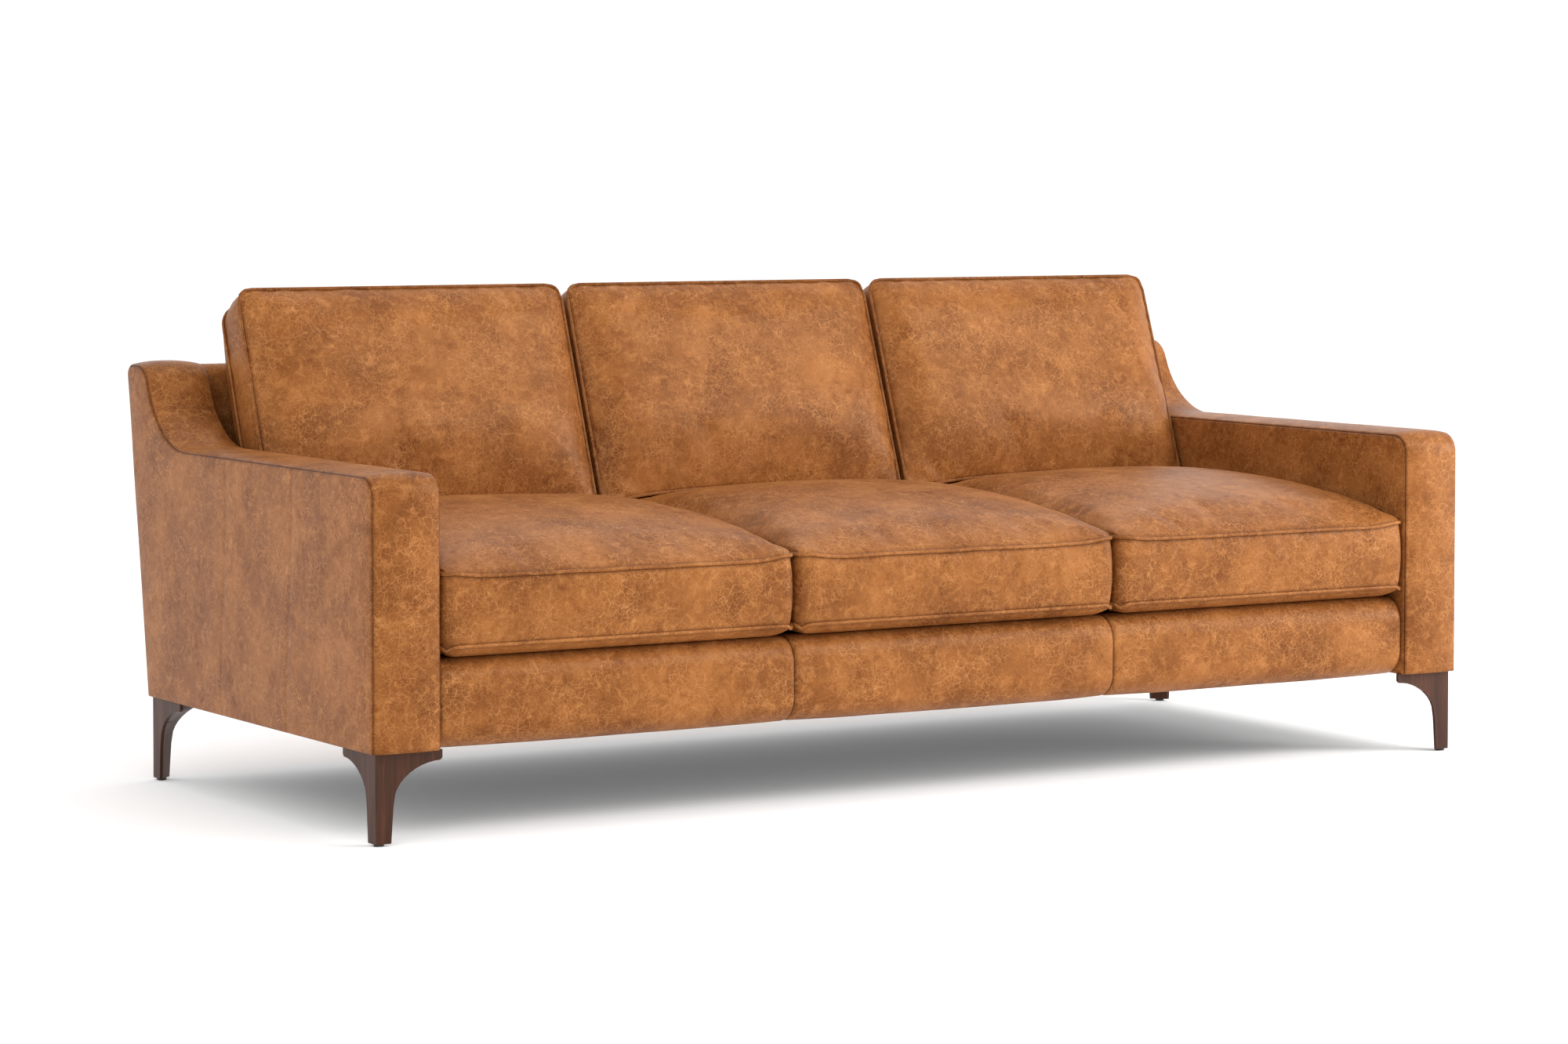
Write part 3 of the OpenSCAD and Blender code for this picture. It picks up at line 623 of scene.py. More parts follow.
def swept(name, section, stations, inset, material=leather, wave=0.8 * MM,
          seam=None, seed=0):
    """A skin of this side section along X; inset is how far each station moves inwards."""
    section = resample(section, 6 * MM)
    x = np.repeat(stations, len(section))
    base = np.tile(section, (len(stations), 1))
    inward = np.tile(normals_2d(section), (len(stations), 1))
    ripple = soft_noise(x, base[:, 0], base[:, 1], 130 * MM, seed) * wave
    depth = np.repeat(inset, len(section)) + ripple
    flat = base + inward * depth[:, None]
    points = np.stack([x, flat[:, 0], flat[:, 1]], 1)
    # seam, if given, is the painted shade beside a seam at each station
    shade = None if seam is None else np.repeat(seam, len(section))
    faces = grid_faces(len(stations), len(section))
    return thicken(piece(name, placed(points), faces, "frame", material, seam=shade), SKIN)


def rail_section():
    """Section of the padded rail, from its back edge above, round the front, to below."""
    face, back = rail_low.y - front_y, rail_high.y - front_y
    foot, top = rail_low.z, rail_high.z
    return np.concatenate([
        [(back, top)],
        arc((face + RAIL_R, top - RAIL_R), RAIL_R, QUARTER, 2 * QUARTER, 12),
        arc((face + RAIL_R, foot + RAIL_R), RAIL_R, 2 * QUARTER, 3 * QUARTER, 12),
        [(back, foot)]])


RAIL_END_R = 9 * MM  # rounding of the rail's ends beside the arms
PAD_SEAM = 4 * MM  # depth of the seams between its pads
PAD_ROLL = 8 * MM  # where a pad begins to roll in to its seam
PAD_CROWN = 2.5 * MM  # fullness of the middle of a pad
CORE_SHORT = 6 * MM  # the rail's core ends this far inside its pads
CORE_DEEP = 5 * MM  # and lies this far under them


def end_inset(distance, rounded):
    """How far a rail pad's skin lies inwards at this distance from its end."""
    if rounded:
        reach = np.clip(RAIL_END_R - distance, 0, RAIL_END_R)
        return RAIL_END_R - np.sqrt(np.maximum(RAIL_END_R ** 2 - reach ** 2, 0))
    return PAD_SEAM * np.clip((PAD_ROLL - distance) / PAD_ROLL, 0, 1) ** 2


def rail_pad(name, x0, x1, rounded, seed):
    """One padded panel of the front rail; rounded says which of its ends are beside an arm."""
    length = x1 - x0
    fine = np.array([0, 0.4, 1.2, 2.6, 4.4, 6.8, 10, 14, 19, 24, 32]) * MM
    at = near_ends(length, fine, 16 * MM)
    inset = end_inset(at, rounded[0]) + end_inset(length - at, rounded[1])
    inset = inset - PAD_CROWN * (1 - np.abs(2 * at / length - 1) ** 4)
    # seams: painted shade beside the seams between pads
    seams = np.zeros(len(at))
    for gap, is_round in ((at, rounded[0]), (length - at, rounded[1])):
        if not is_round:
            seams = np.maximum(seams, np.exp(-gap / (1.3 * MM)))
    x = x0 + at
    for end in (0, 1):
        if rounded[end]:  # the last ring closes the end
            where = 0 if end == 0 else len(x)
            x = np.insert(x, where, (x0, x1)[end])
            inset = np.insert(inset, where, RAIL_R - 2 * MM)
            seams = np.insert(seams, where, 0)
    return swept(name, rail_section(), x, inset, seam=seams, seed=seed)


SEAM_DRIFT = 8 * MM  # the pads' and seats' front seams sit this far right of even thirds
left_seam = SEAM_DRIFT - seat_pitch / 2
right_seam = SEAM_DRIFT + seat_pitch / 2
rail_ends = (-rail_end_x, left_seam, right_seam, rail_end_x)
for i, seat in enumerate(SEATS):
    pad = rail_pad("rail_pad_" + seat, rail_ends[i], rail_ends[i + 1], (i == 0, i == 2), 20 + i)
    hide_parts("rail_cover_" + seat)
core_at = near_ends(2 * (rail_end_x - CORE_SHORT), np.array([0, 3, 8, 16, 28]) * MM, 60 * MM)
core_inset = end_inset(core_at, True) + end_inset(core_at[::-1], True) + CORE_DEEP
rail_core = swept("rail_core", rail_section(), core_at - rail_end_x + CORE_SHORT, core_inset,
                  foam, 0.0)
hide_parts("rail_foam")

BACK_FOOT_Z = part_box("inside_back_cover")[0].z
inside_c_z = back_top_z - INSIDE_R
inside_line = np.concatenate([
    arc(REAR_C, REAR_CORNER_R, -BACK_RAKE, QUARTER, 8),
    arc((inside_y(inside_c_z) + INSIDE_R / math.cos(INSIDE_RAKE), inside_c_z), INSIDE_R,
        QUARTER, 2 * QUARTER - INSIDE_RAKE, 10),
    [(inside_y(BACK_FOOT_Z), BACK_FOOT_Z)]])
inside_at = near_ends(2 * inner_x - 2 * SEAM, FINE, 26 * MM) + SEAM
inside_edge = np.minimum(inside_at, 2 * inner_x - inside_at)
# the inside back gets painted shade beside its side seams
inside_back = swept("inside_back", inside_line, inside_at - inner_x, roll_in(inside_edge),
                    wave=1.2 * MM, seam=shade_near(inside_edge - SEAM), seed=31)
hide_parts("inside_back_cover")


def outside_back_panel(name):
    """The rear panel, in three widths joined by two seams, rolled in along its edges."""
    width = 2 * half_w - 2 * SEAM
    height = rear_c_z - base_z - 2 * SEAM
    joins = (0.0, width / 2 - seat_pitch / 2, width / 2 + seat_pitch / 2, width)
    x = near_joins(joins, FINE, 24 * MM) - width / 2
    z = near_ends(height, FINE, 24 * MM) + SEAM + base_z
    z[0] = base_z
    gx, gz = np.meshgrid(x, z)
    gx, gz = gx.ravel(), gz.ravel()
    to_join = np.minimum(np.abs(gx - seat_pitch / 2), np.abs(gx + seat_pitch / 2)) + SEAM
    to_edge = np.minimum(np.minimum(gx + half_w, half_w - gx),
                         np.minimum(gz - base_z, rear_c_z - gz))
    near = np.minimum(to_edge, to_join)
    puff = 3 * MM * (1 - np.exp(-np.maximum(near - ROLL, 0) / (40 * MM)))
    ripple = soft_noise(gx, gz, gx * 0, 220 * MM, 37) * 1.2 * MM
    depth = roll_in(near) - puff - ripple * np.clip(near / (30 * MM), 0, 1)
    y = rear_y(gz) - depth * math.cos(BACK_RAKE)
    points = np.stack([gx, y, gz + depth * math.sin(BACK_RAKE)], 1)
    faces = grid_faces(len(z), len(x), flip=True)
    # painted shade beside the edges and the two joins
    seam = shade_near(np.maximum(near - SEAM, 0))
    return thicken(leather_piece(name, placed(points), faces, "frame", seam), SKIN)


outside_back = outside_back_panel("outside_back_panel")
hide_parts("outside_back_cover")


# ---- deck pad and dust cover ----


def deck_piece():
    """The padded deck under the seats, closed, quilted along two seams and round its edge."""
    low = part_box("deck_pad")[0]
    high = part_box("deck_cloth")[1]
    fine = np.array([0, 2, 5, 10, 18, 30]) * MM
    joins = (low.x, -seat_pitch / 2, seat_pitch / 2, high.x)
    x = near_joins(joins, fine, 30 * MM)
    y = low.y + near_ends(high.y - low.y, fine, 30 * MM)
    gx, gy = (g.ravel() for g in np.meshgrid(x, y))
    near = np.min([np.abs(gx - at) for at in joins] + [gy - low.y, high.y - gy], axis=0)
    sink = 3.5 * MM * np.exp(-(near / (7 * MM)) ** 2)
    ripple = 0.9 * MM * (1 + soft_noise(gx, gy, gx * 0, 100 * MM, 55))
    z = high.z - sink - ripple
    top = np.stack([gx, gy, z], 1)
    base = np.stack([gx, gy, np.full(len(gx), low.z)], 1)
    n, cols, rows = len(top), len(x), len(y)
    faces = grid_faces(rows, cols)
    faces += [tuple(v + n for v in f[::-1]) for f in grid_faces(rows, cols)]
    ring = [j * cols + i for i, j in ring_places(cols - 1, rows - 1)]
    faces += [(b, a, a + n, b + n) for a, b in zip(ring, ring[1:] + ring[:1])]
    points = np.concatenate([top, base])
    obj = piece("deck_quilt", points, faces, "frame", deck_weave)
    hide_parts("deck_pad", "deck_cloth")


STAPLE_PITCH = 50 * MM


def dust_sheet():
    """The stapled cover under the frame, hanging a little between its edges."""
    low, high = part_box("dust_cover")
    wide, deep, thick = high - low
    fine = np.array([0, 4, 12, 30]) * MM
    x = low.x + near_ends(wide, fine, 40 * MM)
    y = low.y + near_ends(deep, fine, 40 * MM)
    gx, gy = (g.ravel() for g in np.meshgrid(x, y))
    edge = np.minimum(np.minimum(gx - low.x, high.x - gx), np.minimum(gy - low.y, high.y - gy))
    drop = np.clip(edge / (60 * MM), 0, 1) * 1.2 * MM * (
        1 + soft_noise(gx, gy, gx * 0, 160 * MM, 61))
    pulls = 0.5 * MM * np.sin(gx * 2 * math.pi / STAPLE_PITCH) * np.exp(-edge / (25 * MM))
    points = np.stack([gx, gy, high.z - drop - np.maximum(pulls, 0)], 1)
    obj = piece("dust_sheet", points, grid_faces(len(y), len(x)), "frame", dust_weave)
    thicken(obj, thick)
    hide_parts("dust_cover")


deck_piece()
dust_sheet()

# ---- cushions ----

SEAT_SEAM_LOW = 315 * MM
SEAT_SEAM_HIGH = 427 * MM
SEAT_FRONT = -3 * MM  # the front seams; the boxing bulges in front of them
SEAT_CORNER_R = 22 * MM
SEAT_EDGE = 5.2 * MM  # seams inside a seat's own width, for boxing and welt
SEAT_GAP = 1.4 * MM  # between neighbouring seats
ARM_GAP = 2 * MM  # between a seat and the arm
SEAT_CROWN = seat_crown_z - SEAT_SEAM_HIGH
SEAT_SIDE_BULGE = 3.4 * MM
SEAT_FRONT_BULGE = 5.2 * MM
SEAT_FOOT_R = 34 * MM  # how far in the underside curves down to its rest
SEAM_WAVE = 1.6 * MM  # ups and downs of the seams
EAR = 7 * MM  # lift of the front corners
EAR_REACH = 48 * MM
SEAT_UNEVEN = 2.4 * MM  # broad unevenness of the top
PUCKER = 1.2 * MM  # small pulls just inside the top seam
SEAM_SHADE_REACH = 3.2 * MM  # reach of the painted shade beside a cushion's seam
WELT_OUT = 2.2 * MM  # a welt's middle outside the seam
WELT_R = 3.1 * MM  # its half width away from the cushion
SEAT_WELT_TALL = 3.4 * MM  # half height of a seat's welts across the seam
BACK_WELT_TALL = 3.2 * MM
SEAT_ENDS = {"left": (-inner_x + ARM_GAP, left_seam - SEAT_GAP / 2),
             "centre": (left_seam + SEAT_GAP / 2, right_seam - SEAT_GAP / 2),
             "right": (right_seam + SEAT_GAP / 2, inner_x - ARM_GAP)}


def cube_skin(nu, nv, nw):
    """The surface of a cube as a grid: whole-number corners (i, j, k) and its quads."""
    index, corners, quads = {}, [], []

    def at(*key):
        if key not in index:
            index[key] = len(corners)
            corners.append(key)
        return index[key]

    for i in range(nu):
        for j in range(nv):
            quads.append((at(i, j, 0), at(i, j + 1, 0), at(i + 1, j + 1, 0), at(i + 1, j, 0)))
            quads.append((at(i, j, nw), at(i + 1, j, nw), at(i + 1, j + 1, nw), at(i, j + 1, nw)))
    for k in range(nw):
        for i in range(nu):
            quads.append((at(i, 0, k), at(i + 1, 0, k), at(i + 1, 0, k + 1), at(i, 0, k + 1)))
            quads.append((at(i, nv, k), at(i, nv, k + 1), at(i + 1, nv, k + 1), at(i + 1, nv, k)))
        for j in range(nv):
            quads.append((at(0, j, k), at(0, j, k + 1), at(0, j + 1, k + 1), at(0, j + 1, k)))
            quads.append((at(nu, j, k), at(nu, j + 1, k), at(nu, j + 1, k + 1), at(nu, j, k + 1)))
    return np.array(corners), quads, index


def rim(index, nu, nv, k):
    """The points round one layer of a cube skin, in order: a seam."""
    return [index[(i, j, k)] for i, j in ring_places(nu, nv)]


def round_plan(x, y, half_x, half_y, radius):
    """Points of a square, -1 to 1, on a rectangle with rounded corners."""
    px, py = x * half_x, y * half_y
    over_x = np.abs(px) - (half_x - radius)
    over_y = np.abs(py) - (half_y - radius)
    corner = (over_x > 0) & (over_y > 0)
    size = np.sqrt(over_x ** 2 + over_y ** 2)
    pull = np.where(corner, np.maximum(over_x, over_y) / np.maximum(size, 1e-9), 1)
    qx = np.where(corner, np.sign(px) * (half_x - radius + over_x * pull), px)
    qy = np.where(corner, np.sign(py) * (half_y - radius + over_y * pull), py)
    return qx, qy


def toward_edges(share, power):
    """Grid places, -1 to 1, that crowd towards both ends."""
    return np.sign(share) * (1 - (1 - np.abs(share)) ** power)


SEAT_DRIFT = {"left": (0, SEAM_DRIFT), "centre": (SEAM_DRIFT, SEAM_DRIFT),
              "right": (SEAM_DRIFT, 0)}
DRIFT_FROM_Y = 180 * MM  # the seams between the seats bend back to the
DRIFT_GONE_Y = 600 * MM  # cushion pitch between these depths
seat_mid_y = (SEAT_FRONT + seat_rear_y) / 2
seat_half_y = (seat_rear_y - SEAT_FRONT) / 2


def crown_share(x, y):
    """Height of a seat's crown, 0 to 1, at plan places from -1 to 1."""
    return ((1 - np.minimum(x ** 2, 1)) ** 0.2) * ((1 - np.minimum(np.abs(y), 1) ** 1.7) ** 0.55)


def seat_surface(x, y):
    """Height of a seat cushion's top, x from its middle, y from the arms' face."""
    return SEAT_SEAM_HIGH + SEAT_CROWN * crown_share(
        x / (seat_w / 2 - SEAT_EDGE), (y - seat_mid_y) / seat_half_y)


def seat_points(corners, nu, nv, nw, half, drift, seed):
    """Where a seat cushion's grid points go, in its own plan, and the painted shade beside its seams;
    half is its half width.

    drift is how far its left and right ends come back to the left under the back cushions.
    """
    i, j, k = corners.T
    x = toward_edges(2 * i / nu - 1, 1.9)
    y = np.sin(math.pi / 2 * (2 * j / nv - 1))
    w = toward_edges(2 * k / nw - 1, 2.0)
    top, bottom = k == nw, k == 0
    px, py = round_plan(x, y, half, seat_half_y, SEAT_CORNER_R)
    edge = np.minimum(half - np.abs(px), seat_half_y - np.abs(py))
    bulge = 1 - w ** 2
    side_share = np.clip((np.abs(px) - half + SEAT_CORNER_R) / SEAT_CORNER_R, 0, 1)
    px = px + np.sign(px) * SEAT_SIDE_BULGE * bulge * side_share
    py = py - SEAT_FRONT_BULGE * bulge * np.maximum(-y, 0) ** 8
    z = SEAT_SEAM_LOW + (w + 1) / 2 * (SEAT_SEAM_HIGH - SEAT_SEAM_LOW)
    z = np.where(top, SEAT_SEAM_HIGH + SEAT_CROWN * crown_share(x, y), z)
    drop = 1 - (1 - np.clip(edge / SEAT_FOOT_R, 0, 1)) ** 2
    z = np.where(bottom, SEAT_SEAM_LOW - (SEAT_SEAM_LOW - seat_rest_z) * drop, z)
    yy = py + seat_mid_y
    wavy = soft_noise(px, yy, px * 0, 75 * MM, seed) * SEAM_WAVE
    to_corner = np.hypot(half - np.abs(px), py + seat_half_y)
    ear = EAR * np.exp(-(to_corner / EAR_REACH) ** 2)
    share = np.where(top, np.exp(-edge / (30 * MM)), np.clip((w + 1) / 2, 0, 1) ** 2)
    z = z + (wavy + ear) * np.where(bottom, 0, share)
    broad = soft_noise(px, yy, px * 0, 210 * MM, seed + 5) * SEAT_UNEVEN
    pucker = soft_noise(px, yy, px * 0, 35 * MM, seed + 9) * PUCKER
    z = z + np.where(top, broad * np.clip(edge / (50 * MM), 0, 1), 0)
    z = z + np.where(top, pucker * np.exp(-((edge - 14 * MM) / (12 * MM)) ** 2), 0)
    # crease and line: painted shade beside the seams, full on the boxing under the upper seam and on
    # the underside by the lower seam, weaker on the crown and above the lower seam
    along = (1 - np.abs(w)) * (SEAT_SEAM_HIGH - SEAT_SEAM_LOW) / 2
    crease = np.clip(1.3 - np.where(top | bottom, edge, along) / SEAM_SHADE_REACH, 0, 1)
    line = crease * np.where(top, 0.45, np.where(bottom | (w > 0), 1, 0.55))
    back = np.clip((yy - DRIFT_FROM_Y) / (DRIFT_GONE_Y - DRIFT_FROM_Y), 0, 1)
    back = back ** 2 * (3 - 2 * back)
    px = px - back * np.interp(px, (-half, half), drift)
    return np.stack([px, yy, z], 1), line


SIM_FRAMES = 20
PRESSURE = 3.0
SIM_SHARE = 0.6  # of the cloth's movement that a point takes
SIM_CAP = 6 * MM  # the most that a point moves


def coordinates(mesh):
    """A mesh's points as an array."""
    flat = np.empty(len(mesh.vertices) * 3)
    mesh.vertices.foreach_get("co", flat)
    return flat.reshape(-1, 3)


def swell(cushions):
    """Swells closed meshes with a cloth simulation; each comes with its points' hold, 0 to 1."""
    for obj, hold in cushions:
        group = obj.vertex_groups.new(name="held")
        for v, value in enumerate(hold):
            if value > 0:
                group.add([v], float(value), "REPLACE")
        cloth = obj.modifiers.new("swell", "CLOTH")
        while obj.modifiers[0] != cloth:
            obj.modifiers.move(len(obj.modifiers) - 1, 0)
        s = cloth.settings
        s.use_pressure = True
        s.uniform_pressure_force = PRESSURE
        s.vertex_group_mass = "held"
        s.mass = 0.4
        s.tension_stiffness = s.compression_stiffness = 15
        s.shear_stiffness = 6
        s.bending_stiffness = 0.6
        s.shrink_min = -0.02
        s.quality = 4
        s.effector_weights.gravity = 0
        cloth.collision_settings.use_collision = False
        cloth.point_cache.frame_start = 1
        cloth.point_cache.frame_end = SIM_FRAMES
    for f in range(1, SIM_FRAMES + 1):
        scene.frame_set(f)
        for obj, hold in cushions:
            obj.evaluated_get(bpy.context.evaluated_depsgraph_get())
    ends = []
    for obj, hold in cushions:
        for m in obj.modifiers:
            m.show_viewport = m.type == "CLOTH"
    graph = bpy.context.evaluated_depsgraph_get()
    for obj, hold in cushions:
        ends.append(coordinates(obj.evaluated_get(graph).data))
    for (obj, hold), end in zip(cushions, ends):
        obj.modifiers.remove(obj.modifiers["swell"])
        for m in obj.modifiers:
            m.show_viewport = True
        start = coordinates(obj.data)
        move = (end - start) * SIM_SHARE
        size = np.linalg.norm(move, axis=1)
        move *= np.minimum(1, SIM_CAP / np.maximum(size, 1e-9))[:, None]
        obj.data.vertices.foreach_set("co", (start + move).reshape(-1))
        obj.data.update()
        obj.vertex_groups.clear()
    scene.frame_set(1)


def even_loop(points, extra, step):
    """A closed loop and values along it, spaced evenly."""
    both = np.concatenate([points, extra], 1)
    both = np.concatenate([both, both[:1]])
    length = run_length(both[:, :3])
    at = np.linspace(0, length[-1], int(length[-1] / step), endpoint=False)
    out = at_lengths(both, length, at)
    return out[:, :3], out[:, 3:]


def welt(name, seam_line, away, tall, body, tilt=None):
    """A closed welt along a cushion's seam; away points from the cushion at each point.

    tall is its half height across the seam, and tilt replaces the rise of away.
    """
    path, away = even_loop(seam_line, unit(away), 6 * MM)
    if tilt is not None:
        away[:, 2] = tilt
    path = path + away * WELT_OUT
    tangent = unit(np.roll(path, -1, 0) - np.roll(path, 1, 0))
    away = unit(away - (away * tangent).sum(1)[:, None] * tangent)
    up = np.cross(tangent, away)
    n, sides = len(path), 10
    # shade: painted shade at the top and bottom of the welt's section, where it meets the cushion
    points, shade = [], []
    for a in np.arange(sides) * 2 * math.pi / sides:
        points.append(path + away * WELT_R * math.cos(a) + up * tall * math.sin(a))
        shade.append(np.full(n, max(0.0, abs(math.sin(a)) - 0.85) * 5))
    points = np.stack(points, 1).reshape(-1, 3)
    shade = np.clip(np.stack(shade, 1).reshape(-1), 0, 1)
    faces = [(r * sides + c, r * sides + (c + 1) % sides,
              ((r + 1) % n) * sides + (c + 1) % sides, ((r + 1) % n) * sides + c)
             for r in range(n) for c in range(sides)]
    return leather_piece(name, points, faces, body, shade)


def turned_out(mesh):
    """Makes a closed mesh's faces look outwards."""
    b = bmesh.new()
    b.from_mesh(mesh)
    bmesh.ops.recalc_face_normals(b, faces=b.faces)
    b.to_mesh(mesh)
    b.free()


NU, NV, NW = 56, 50, 10
seat_grid, seat_quads, seat_index = cube_skin(NU, NV, NW)
HELD_FROM_Y = 570 * MM  # behind this the back cushions hold the seats down,
HELD_OVER = 90 * MM  # more and more over this depth
SIDE_HOLD = 0.55  # how firmly the boxing is held as the cushion swells
seat_cushions = []
seat_middles = {}
for i, seat in enumerate(SEATS):
    x0, x1 = SEAT_ENDS[seat]
    middle, half = (x0 + x1) / 2, (x1 - x0) / 2 - SEAT_EDGE
    seat_middles[seat] = middle, half
    local, line = seat_points(seat_grid, NU, NV, NW, half, SEAT_DRIFT[seat], 40 + 7 * i)
    local[:, 0] += middle
    cushion = leather_piece("seat_cushion_" + seat, placed(local), seat_quads, "seat_" + seat, line)
    turned_out(cushion.data)
    smoother(cushion)
    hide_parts("seat_cover_" + seat, "seat_core_" + seat)
    across, deep, layer = seat_grid.T
    on_rim = (across % NU == 0) | (deep % NV == 0)
    hold = np.where(layer == NW, on_rim, np.where(layer == 0, 1, SIDE_HOLD))
    hold = np.where(deep == NV, 1, hold)
    under_back = (local[:, 1] - HELD_FROM_Y) / HELD_OVER
    hold = np.maximum(hold, np.clip(under_back, 0, 1))
    seat_cushions.append((cushion, hold))
swell(seat_cushions)
for i, (cushion, hold) in enumerate(seat_cushions):
    seat = SEATS[i]
    middle, half = seat_middles[seat]
    final = coordinates(cushion.data)
    for level, k, tilt in (("upper", NW, 0.10), ("lower", 0, -0.05)):
        ring = final[rim(seat_index, NU, NV, k)]
        plan = ring - np.array([middle, seat_mid_y + front_y, 0])
        away = np.zeros_like(plan)
        for axis, reach in ((0, half), (1, seat_half_y)):
            away[:, axis] = np.sign(plan[:, axis]) * np.clip(
                (np.abs(plan[:, axis]) - reach + SEAT_CORNER_R) / SEAT_CORNER_R, 0, 1)
        welt("seat_welt_%s_%s" % (level, seat), ring, away, SEAT_WELT_TALL, "seat_" + seat, tilt)

RAKE = math.radians(20)
BACK_FOOT = (670 * MM, 455 * MM)
BACK_TOP_H = 441 * MM
BACK_HALF = 321 * MM  # half width at the seams
BACK_BOXING = 75 * MM
BACK_REAR = 91 * MM  # swell of the rear panel
BACK_FRONT = 33 * MM  # swell of the front panel
ZIP_LOW = (150.8 * MM, 85.2 * MM)  # the straight part of the rear panel with the zip
ZIP_HIGH = (159.65 * MM, 127.8 * MM)
CLEAR = 7 * MM  # between a back cushion and the seat under it
BACK_PLAN_H = 200 * MM  # half height of the plan that rounds its corners
BACK_CORNER_R = 29 * MM
BACK_FOOT_CORNER_R = 14 * MM
BACK_WELT_TURN = 28 * MM  # the stretch in which a welt turns round a corner
BACK_SAG = 13 * MM  # the filling settled low behind the front panel
BACK_UNEVEN = 2.2 * MM
BACK_TOP_BULGE = 4.5 * MM
BACK_SIDE_BULGE = 3 * MM
LOWEST_FOOT = 452 * MM


def lean(d, h):
    """Side-view place of a point in the back cushion's leaning frame."""
    return (BACK_FOOT[0] + d * math.cos(RAKE) + h * math.sin(RAKE),
            BACK_FOOT[1] - d * math.sin(RAKE) + h * math.cos(RAKE))


def foot_height(x, d):
    """Height, along the lean, at which the cushion meets the seat below it."""
    h = np.full(np.shape(x), 50 * MM)
    for _ in range(6):
        y = lean(d, h)[0]
        target = np.maximum(seat_surface(x, y) + CLEAR, LOWEST_FOOT)
        h = (target - BACK_FOOT[1] + d * math.sin(RAKE)) / math.cos(RAKE)
    return h


def back_points(corners, nu, nv, nw, seed):
    """Where a back cushion's grid points go, with x from its own middle.

    Also how much painted shade beside the seams darkens the leather at each point and how firmly the
    swelling is held there.
    """
    i, j, k = corners.T
    x = toward_edges(2 * i / nu - 1, 2.0)
    v = np.sin(math.pi / 2 * (2 * j / nv - 1))
    w = toward_edges(2 * k / nw - 1, 1.8)
    front, rear = k == 0, k == nw
    corner_r = np.where(v > 0, BACK_CORNER_R + 5 * MM * w, BACK_FOOT_CORNER_R)
    px, pv = round_plan(x, v, BACK_HALF, BACK_PLAN_H, corner_r)
    f = (pv / BACK_PLAN_H + 1) / 2
    up, down = np.maximum(v, 0), np.maximum(-v, 0)
    front_shape = (1 - up ** 7) ** 0.6 * (1 - down ** 1.9) ** 0.70
    front_width = (1 - np.abs(x) ** 5) ** 0.6
    sag = BACK_SAG * np.exp(-((f - 0.34) / 0.20) ** 2)
    rear_shape = (1 - up ** 2.4) ** 0.5 * (1 - down ** 6) ** 0.5
    rear_width = (1 - np.abs(x) ** 10) ** 0.5
    bulge = 1 - w ** 2
    d = BACK_BOXING * (w + 1) / 2
    d = np.where(front, -(BACK_FRONT * front_shape + sag) * front_width, d)
    d = np.where(rear, BACK_BOXING + BACK_REAR * rear_shape * rear_width, d)
    broad = soft_noise(px, f, d * 0, 0.17, seed) * BACK_UNEVEN
    from_seam = np.minimum(BACK_HALF * (1 - np.abs(x)), BACK_PLAN_H * (1 - np.abs(v)))
    d = d + np.where(front | rear, broad * np.clip(from_seam / (50 * MM), 0, 1), 0)
    h0 = foot_height(px, d)
    h = h0 + f * (BACK_TOP_H - 4 * MM * (w + 1) - h0)
    h = h + BACK_TOP_BULGE * bulge * up ** 8
    px = px + np.sign(px) * BACK_SIDE_BULGE * bulge * np.abs(x) ** 8
    from_zip = h - (ZIP_LOW[1] + ZIP_HIGH[1]) / 2
    zip_d = (ZIP_LOW[0] + ZIP_HIGH[0]) / 2 + from_zip * (ZIP_HIGH[0] - ZIP_LOW[0]) / (
        ZIP_HIGH[1] - ZIP_LOW[1])
    flat = np.clip((306 * MM - np.abs(px)) / (20 * MM), 0, 1) * np.clip(
        (34 * MM - np.abs(from_zip)) / (18 * MM), 0, 1)
    d = np.where(rear, d * (1 - flat) + zip_d * flat, d)
    y, z = lean(d, h)
    edge = np.minimum(BACK_HALF - np.abs(px), BACK_PLAN_H - np.abs(pv))
    along = (1 - np.abs(w)) * BACK_BOXING / 2
    # line: painted shade beside the seams
    line = np.clip(1.3 - np.where(front | rear, edge, along) / SEAM_SHADE_REACH, 0, 1)
    line = line * np.where(front, 0.6, 0.55)
    hold = np.where(front, np.where(edge < 0.1 * MM, 1.0, 0.0), 0.6)
    hold = np.where((v == -1) | rear, 1, hold)
    return np.stack([px, y, z], 1), line, hold


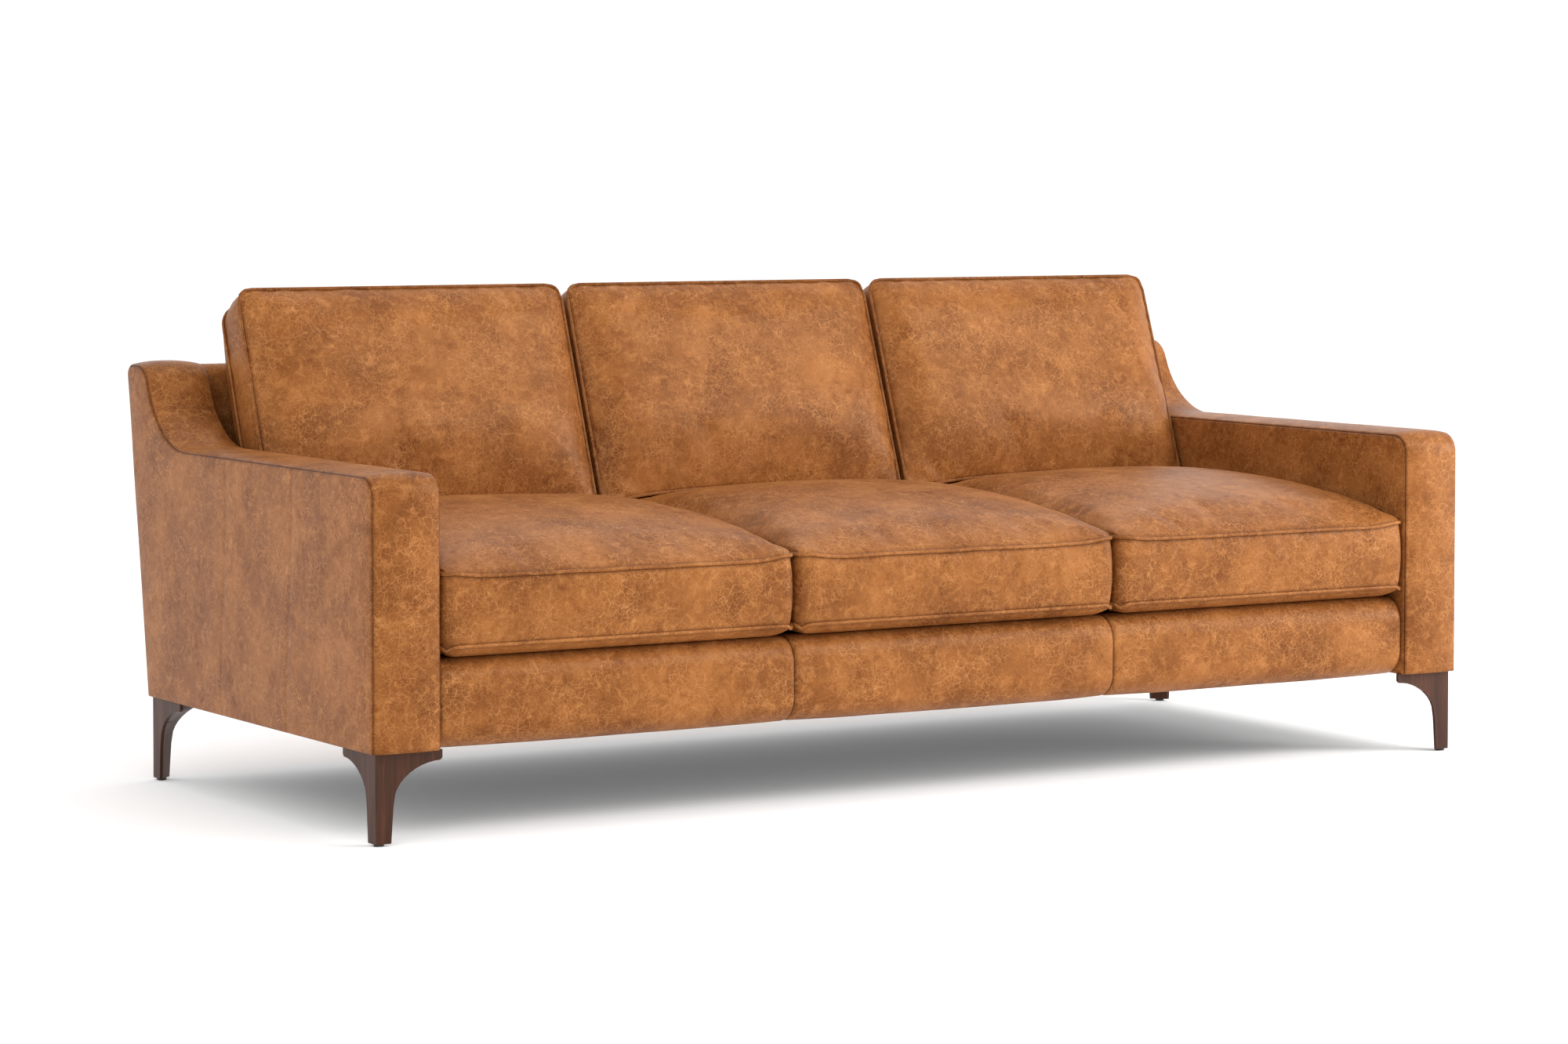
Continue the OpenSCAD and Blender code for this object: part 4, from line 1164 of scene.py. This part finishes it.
BU, BV, BW = 48, 44, 8
back_grid, back_quads, back_index = cube_skin(BU, BV, BW)
BACK_SHIFT = {"left": 4 * MM, "centre": 1 * MM, "right": 0.0}
back_cushions = []
for i, seat in enumerate(SEATS):
    middle = (i - 1) * seat_pitch + BACK_SHIFT[seat]
    local, line, hold = back_points(back_grid, BU, BV, BW, 70 + 9 * i)
    local[:, 0] += middle
    cushion = leather_piece("back_cushion_" + seat, placed(local), back_quads, "back_" + seat, line)
    turned_out(cushion.data)
    smoother(cushion)
    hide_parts("back_cover_" + seat, "back_core_" + seat)
    back_cushions.append((cushion, hold))
swell(back_cushions)
for i, (cushion, hold) in enumerate(back_cushions):
    seat = SEATS[i]
    middle = (i - 1) * seat_pitch + BACK_SHIFT[seat]
    final = coordinates(cushion.data)
    for level, k in (("front", 0), ("rear", BW)):
        ring = final[rim(back_index, BU, BV, k)]
        away = np.zeros_like(ring)
        away[:, 0] = np.sign(ring[:, 0] - middle) * np.clip(
            (np.abs(ring[:, 0] - middle) - BACK_HALF) / BACK_WELT_TURN + 1, 0, 1) ** 2
        rise = (ring[:, 2] - ring[:, 2].mean()) / (np.ptp(ring[:, 2]) / 2)
        rise = np.sign(rise) * np.clip((np.abs(rise) - 0.86) / 0.14, 0, 1) ** 2 + 1e-4
        away[:, 1] = rise * math.sin(RAKE)
        away[:, 2] = rise * math.cos(RAKE)
        welt("back_welt_%s_%s" % (level, seat), ring, away, BACK_WELT_TALL, "back_" + seat)


# ---- camera, lights and floor ----

FLOOR_HALF = 60.0
floor_corners = [(x * FLOOR_HALF, y * FLOOR_HALF, 0) for x, y in ((-1, -1), (1, -1), (1, 1), (-1, 1))]
floor_mesh = bpy.data.meshes.new("floor")
floor_mesh.from_pydata(floor_corners, [], [(0, 1, 2, 3)])
floor = in_scene("floor", floor_mesh)
floor_material, _, floor_shader = new_material("floor")
for socket, value in (("Base Color", (0.96, 0.96, 0.96, 1)), ("Roughness", 0.8),
                      ("Emission Color", (1, 1, 1, 1)), ("Emission Strength", 0.09),
                      ("Specular IOR Level", 0.0)):
    floor_shader.inputs[socket].default_value = value
floor_mesh.materials.append(floor_material)

camera = in_scene("camera", bpy.data.cameras.new("camera"))
scene.camera = camera
CAMERA_PLACE = (-4.0800, -6.6229, 1.0798)
CAMERA_YAW = math.radians(31.33)  # to the right of the sofa's depth
CAMERA_TILT = math.radians(2.594)  # below level
LENS_MM = 98.095
SENSOR_MM = 36
SHIFT_UP = -0.10  # of the image width, to centre the sofa
camera.location = CAMERA_PLACE
camera.rotation_euler = (QUARTER - CAMERA_TILT, 0, -CAMERA_YAW)
camera.data.lens = LENS_MM
camera.data.sensor_width = SENSOR_MM
camera.data.shift_y = SHIFT_UP
camera.data.clip_end = 100


def area_light(name, place, target, size, power):
    """A soft rectangular light at a place, aimed at a target; power in watts."""
    data = bpy.data.lights.new(name, "AREA")
    data.shape = "RECTANGLE"
    data.size, data.size_y = size
    data.energy = power
    obj = in_scene(name, data)
    obj.location = place
    obj.rotation_euler = (Vector(target) - Vector(place)).to_track_quat("-Z", "Y").to_euler()


area_light("key", (2.4, -3.2, 3.4), (0.1, 0, 0.4), (2.4, 1.8), 96)
area_light("side", (4.2, -2.9, 1.5), (0.3, 0, 0.5), (1.5, 1.7), 105)
area_light("fill", (-3.4, -2.8, 2.2), (-0.3, 0, 0.4), (2.5, 2.0), 25)
area_light("top", (0, 0.2, 3.6), (0, 0, 0.4), (3.4, 2.0), 12)

world = bpy.data.worlds.new("world")
scene.world = world
world.use_nodes = True
world.node_tree.nodes["Background"].inputs["Color"].default_value = (1, 1, 1, 1)
world.node_tree.nodes["Background"].inputs["Strength"].default_value = 1.08
scene.view_settings.view_transform = "Standard"
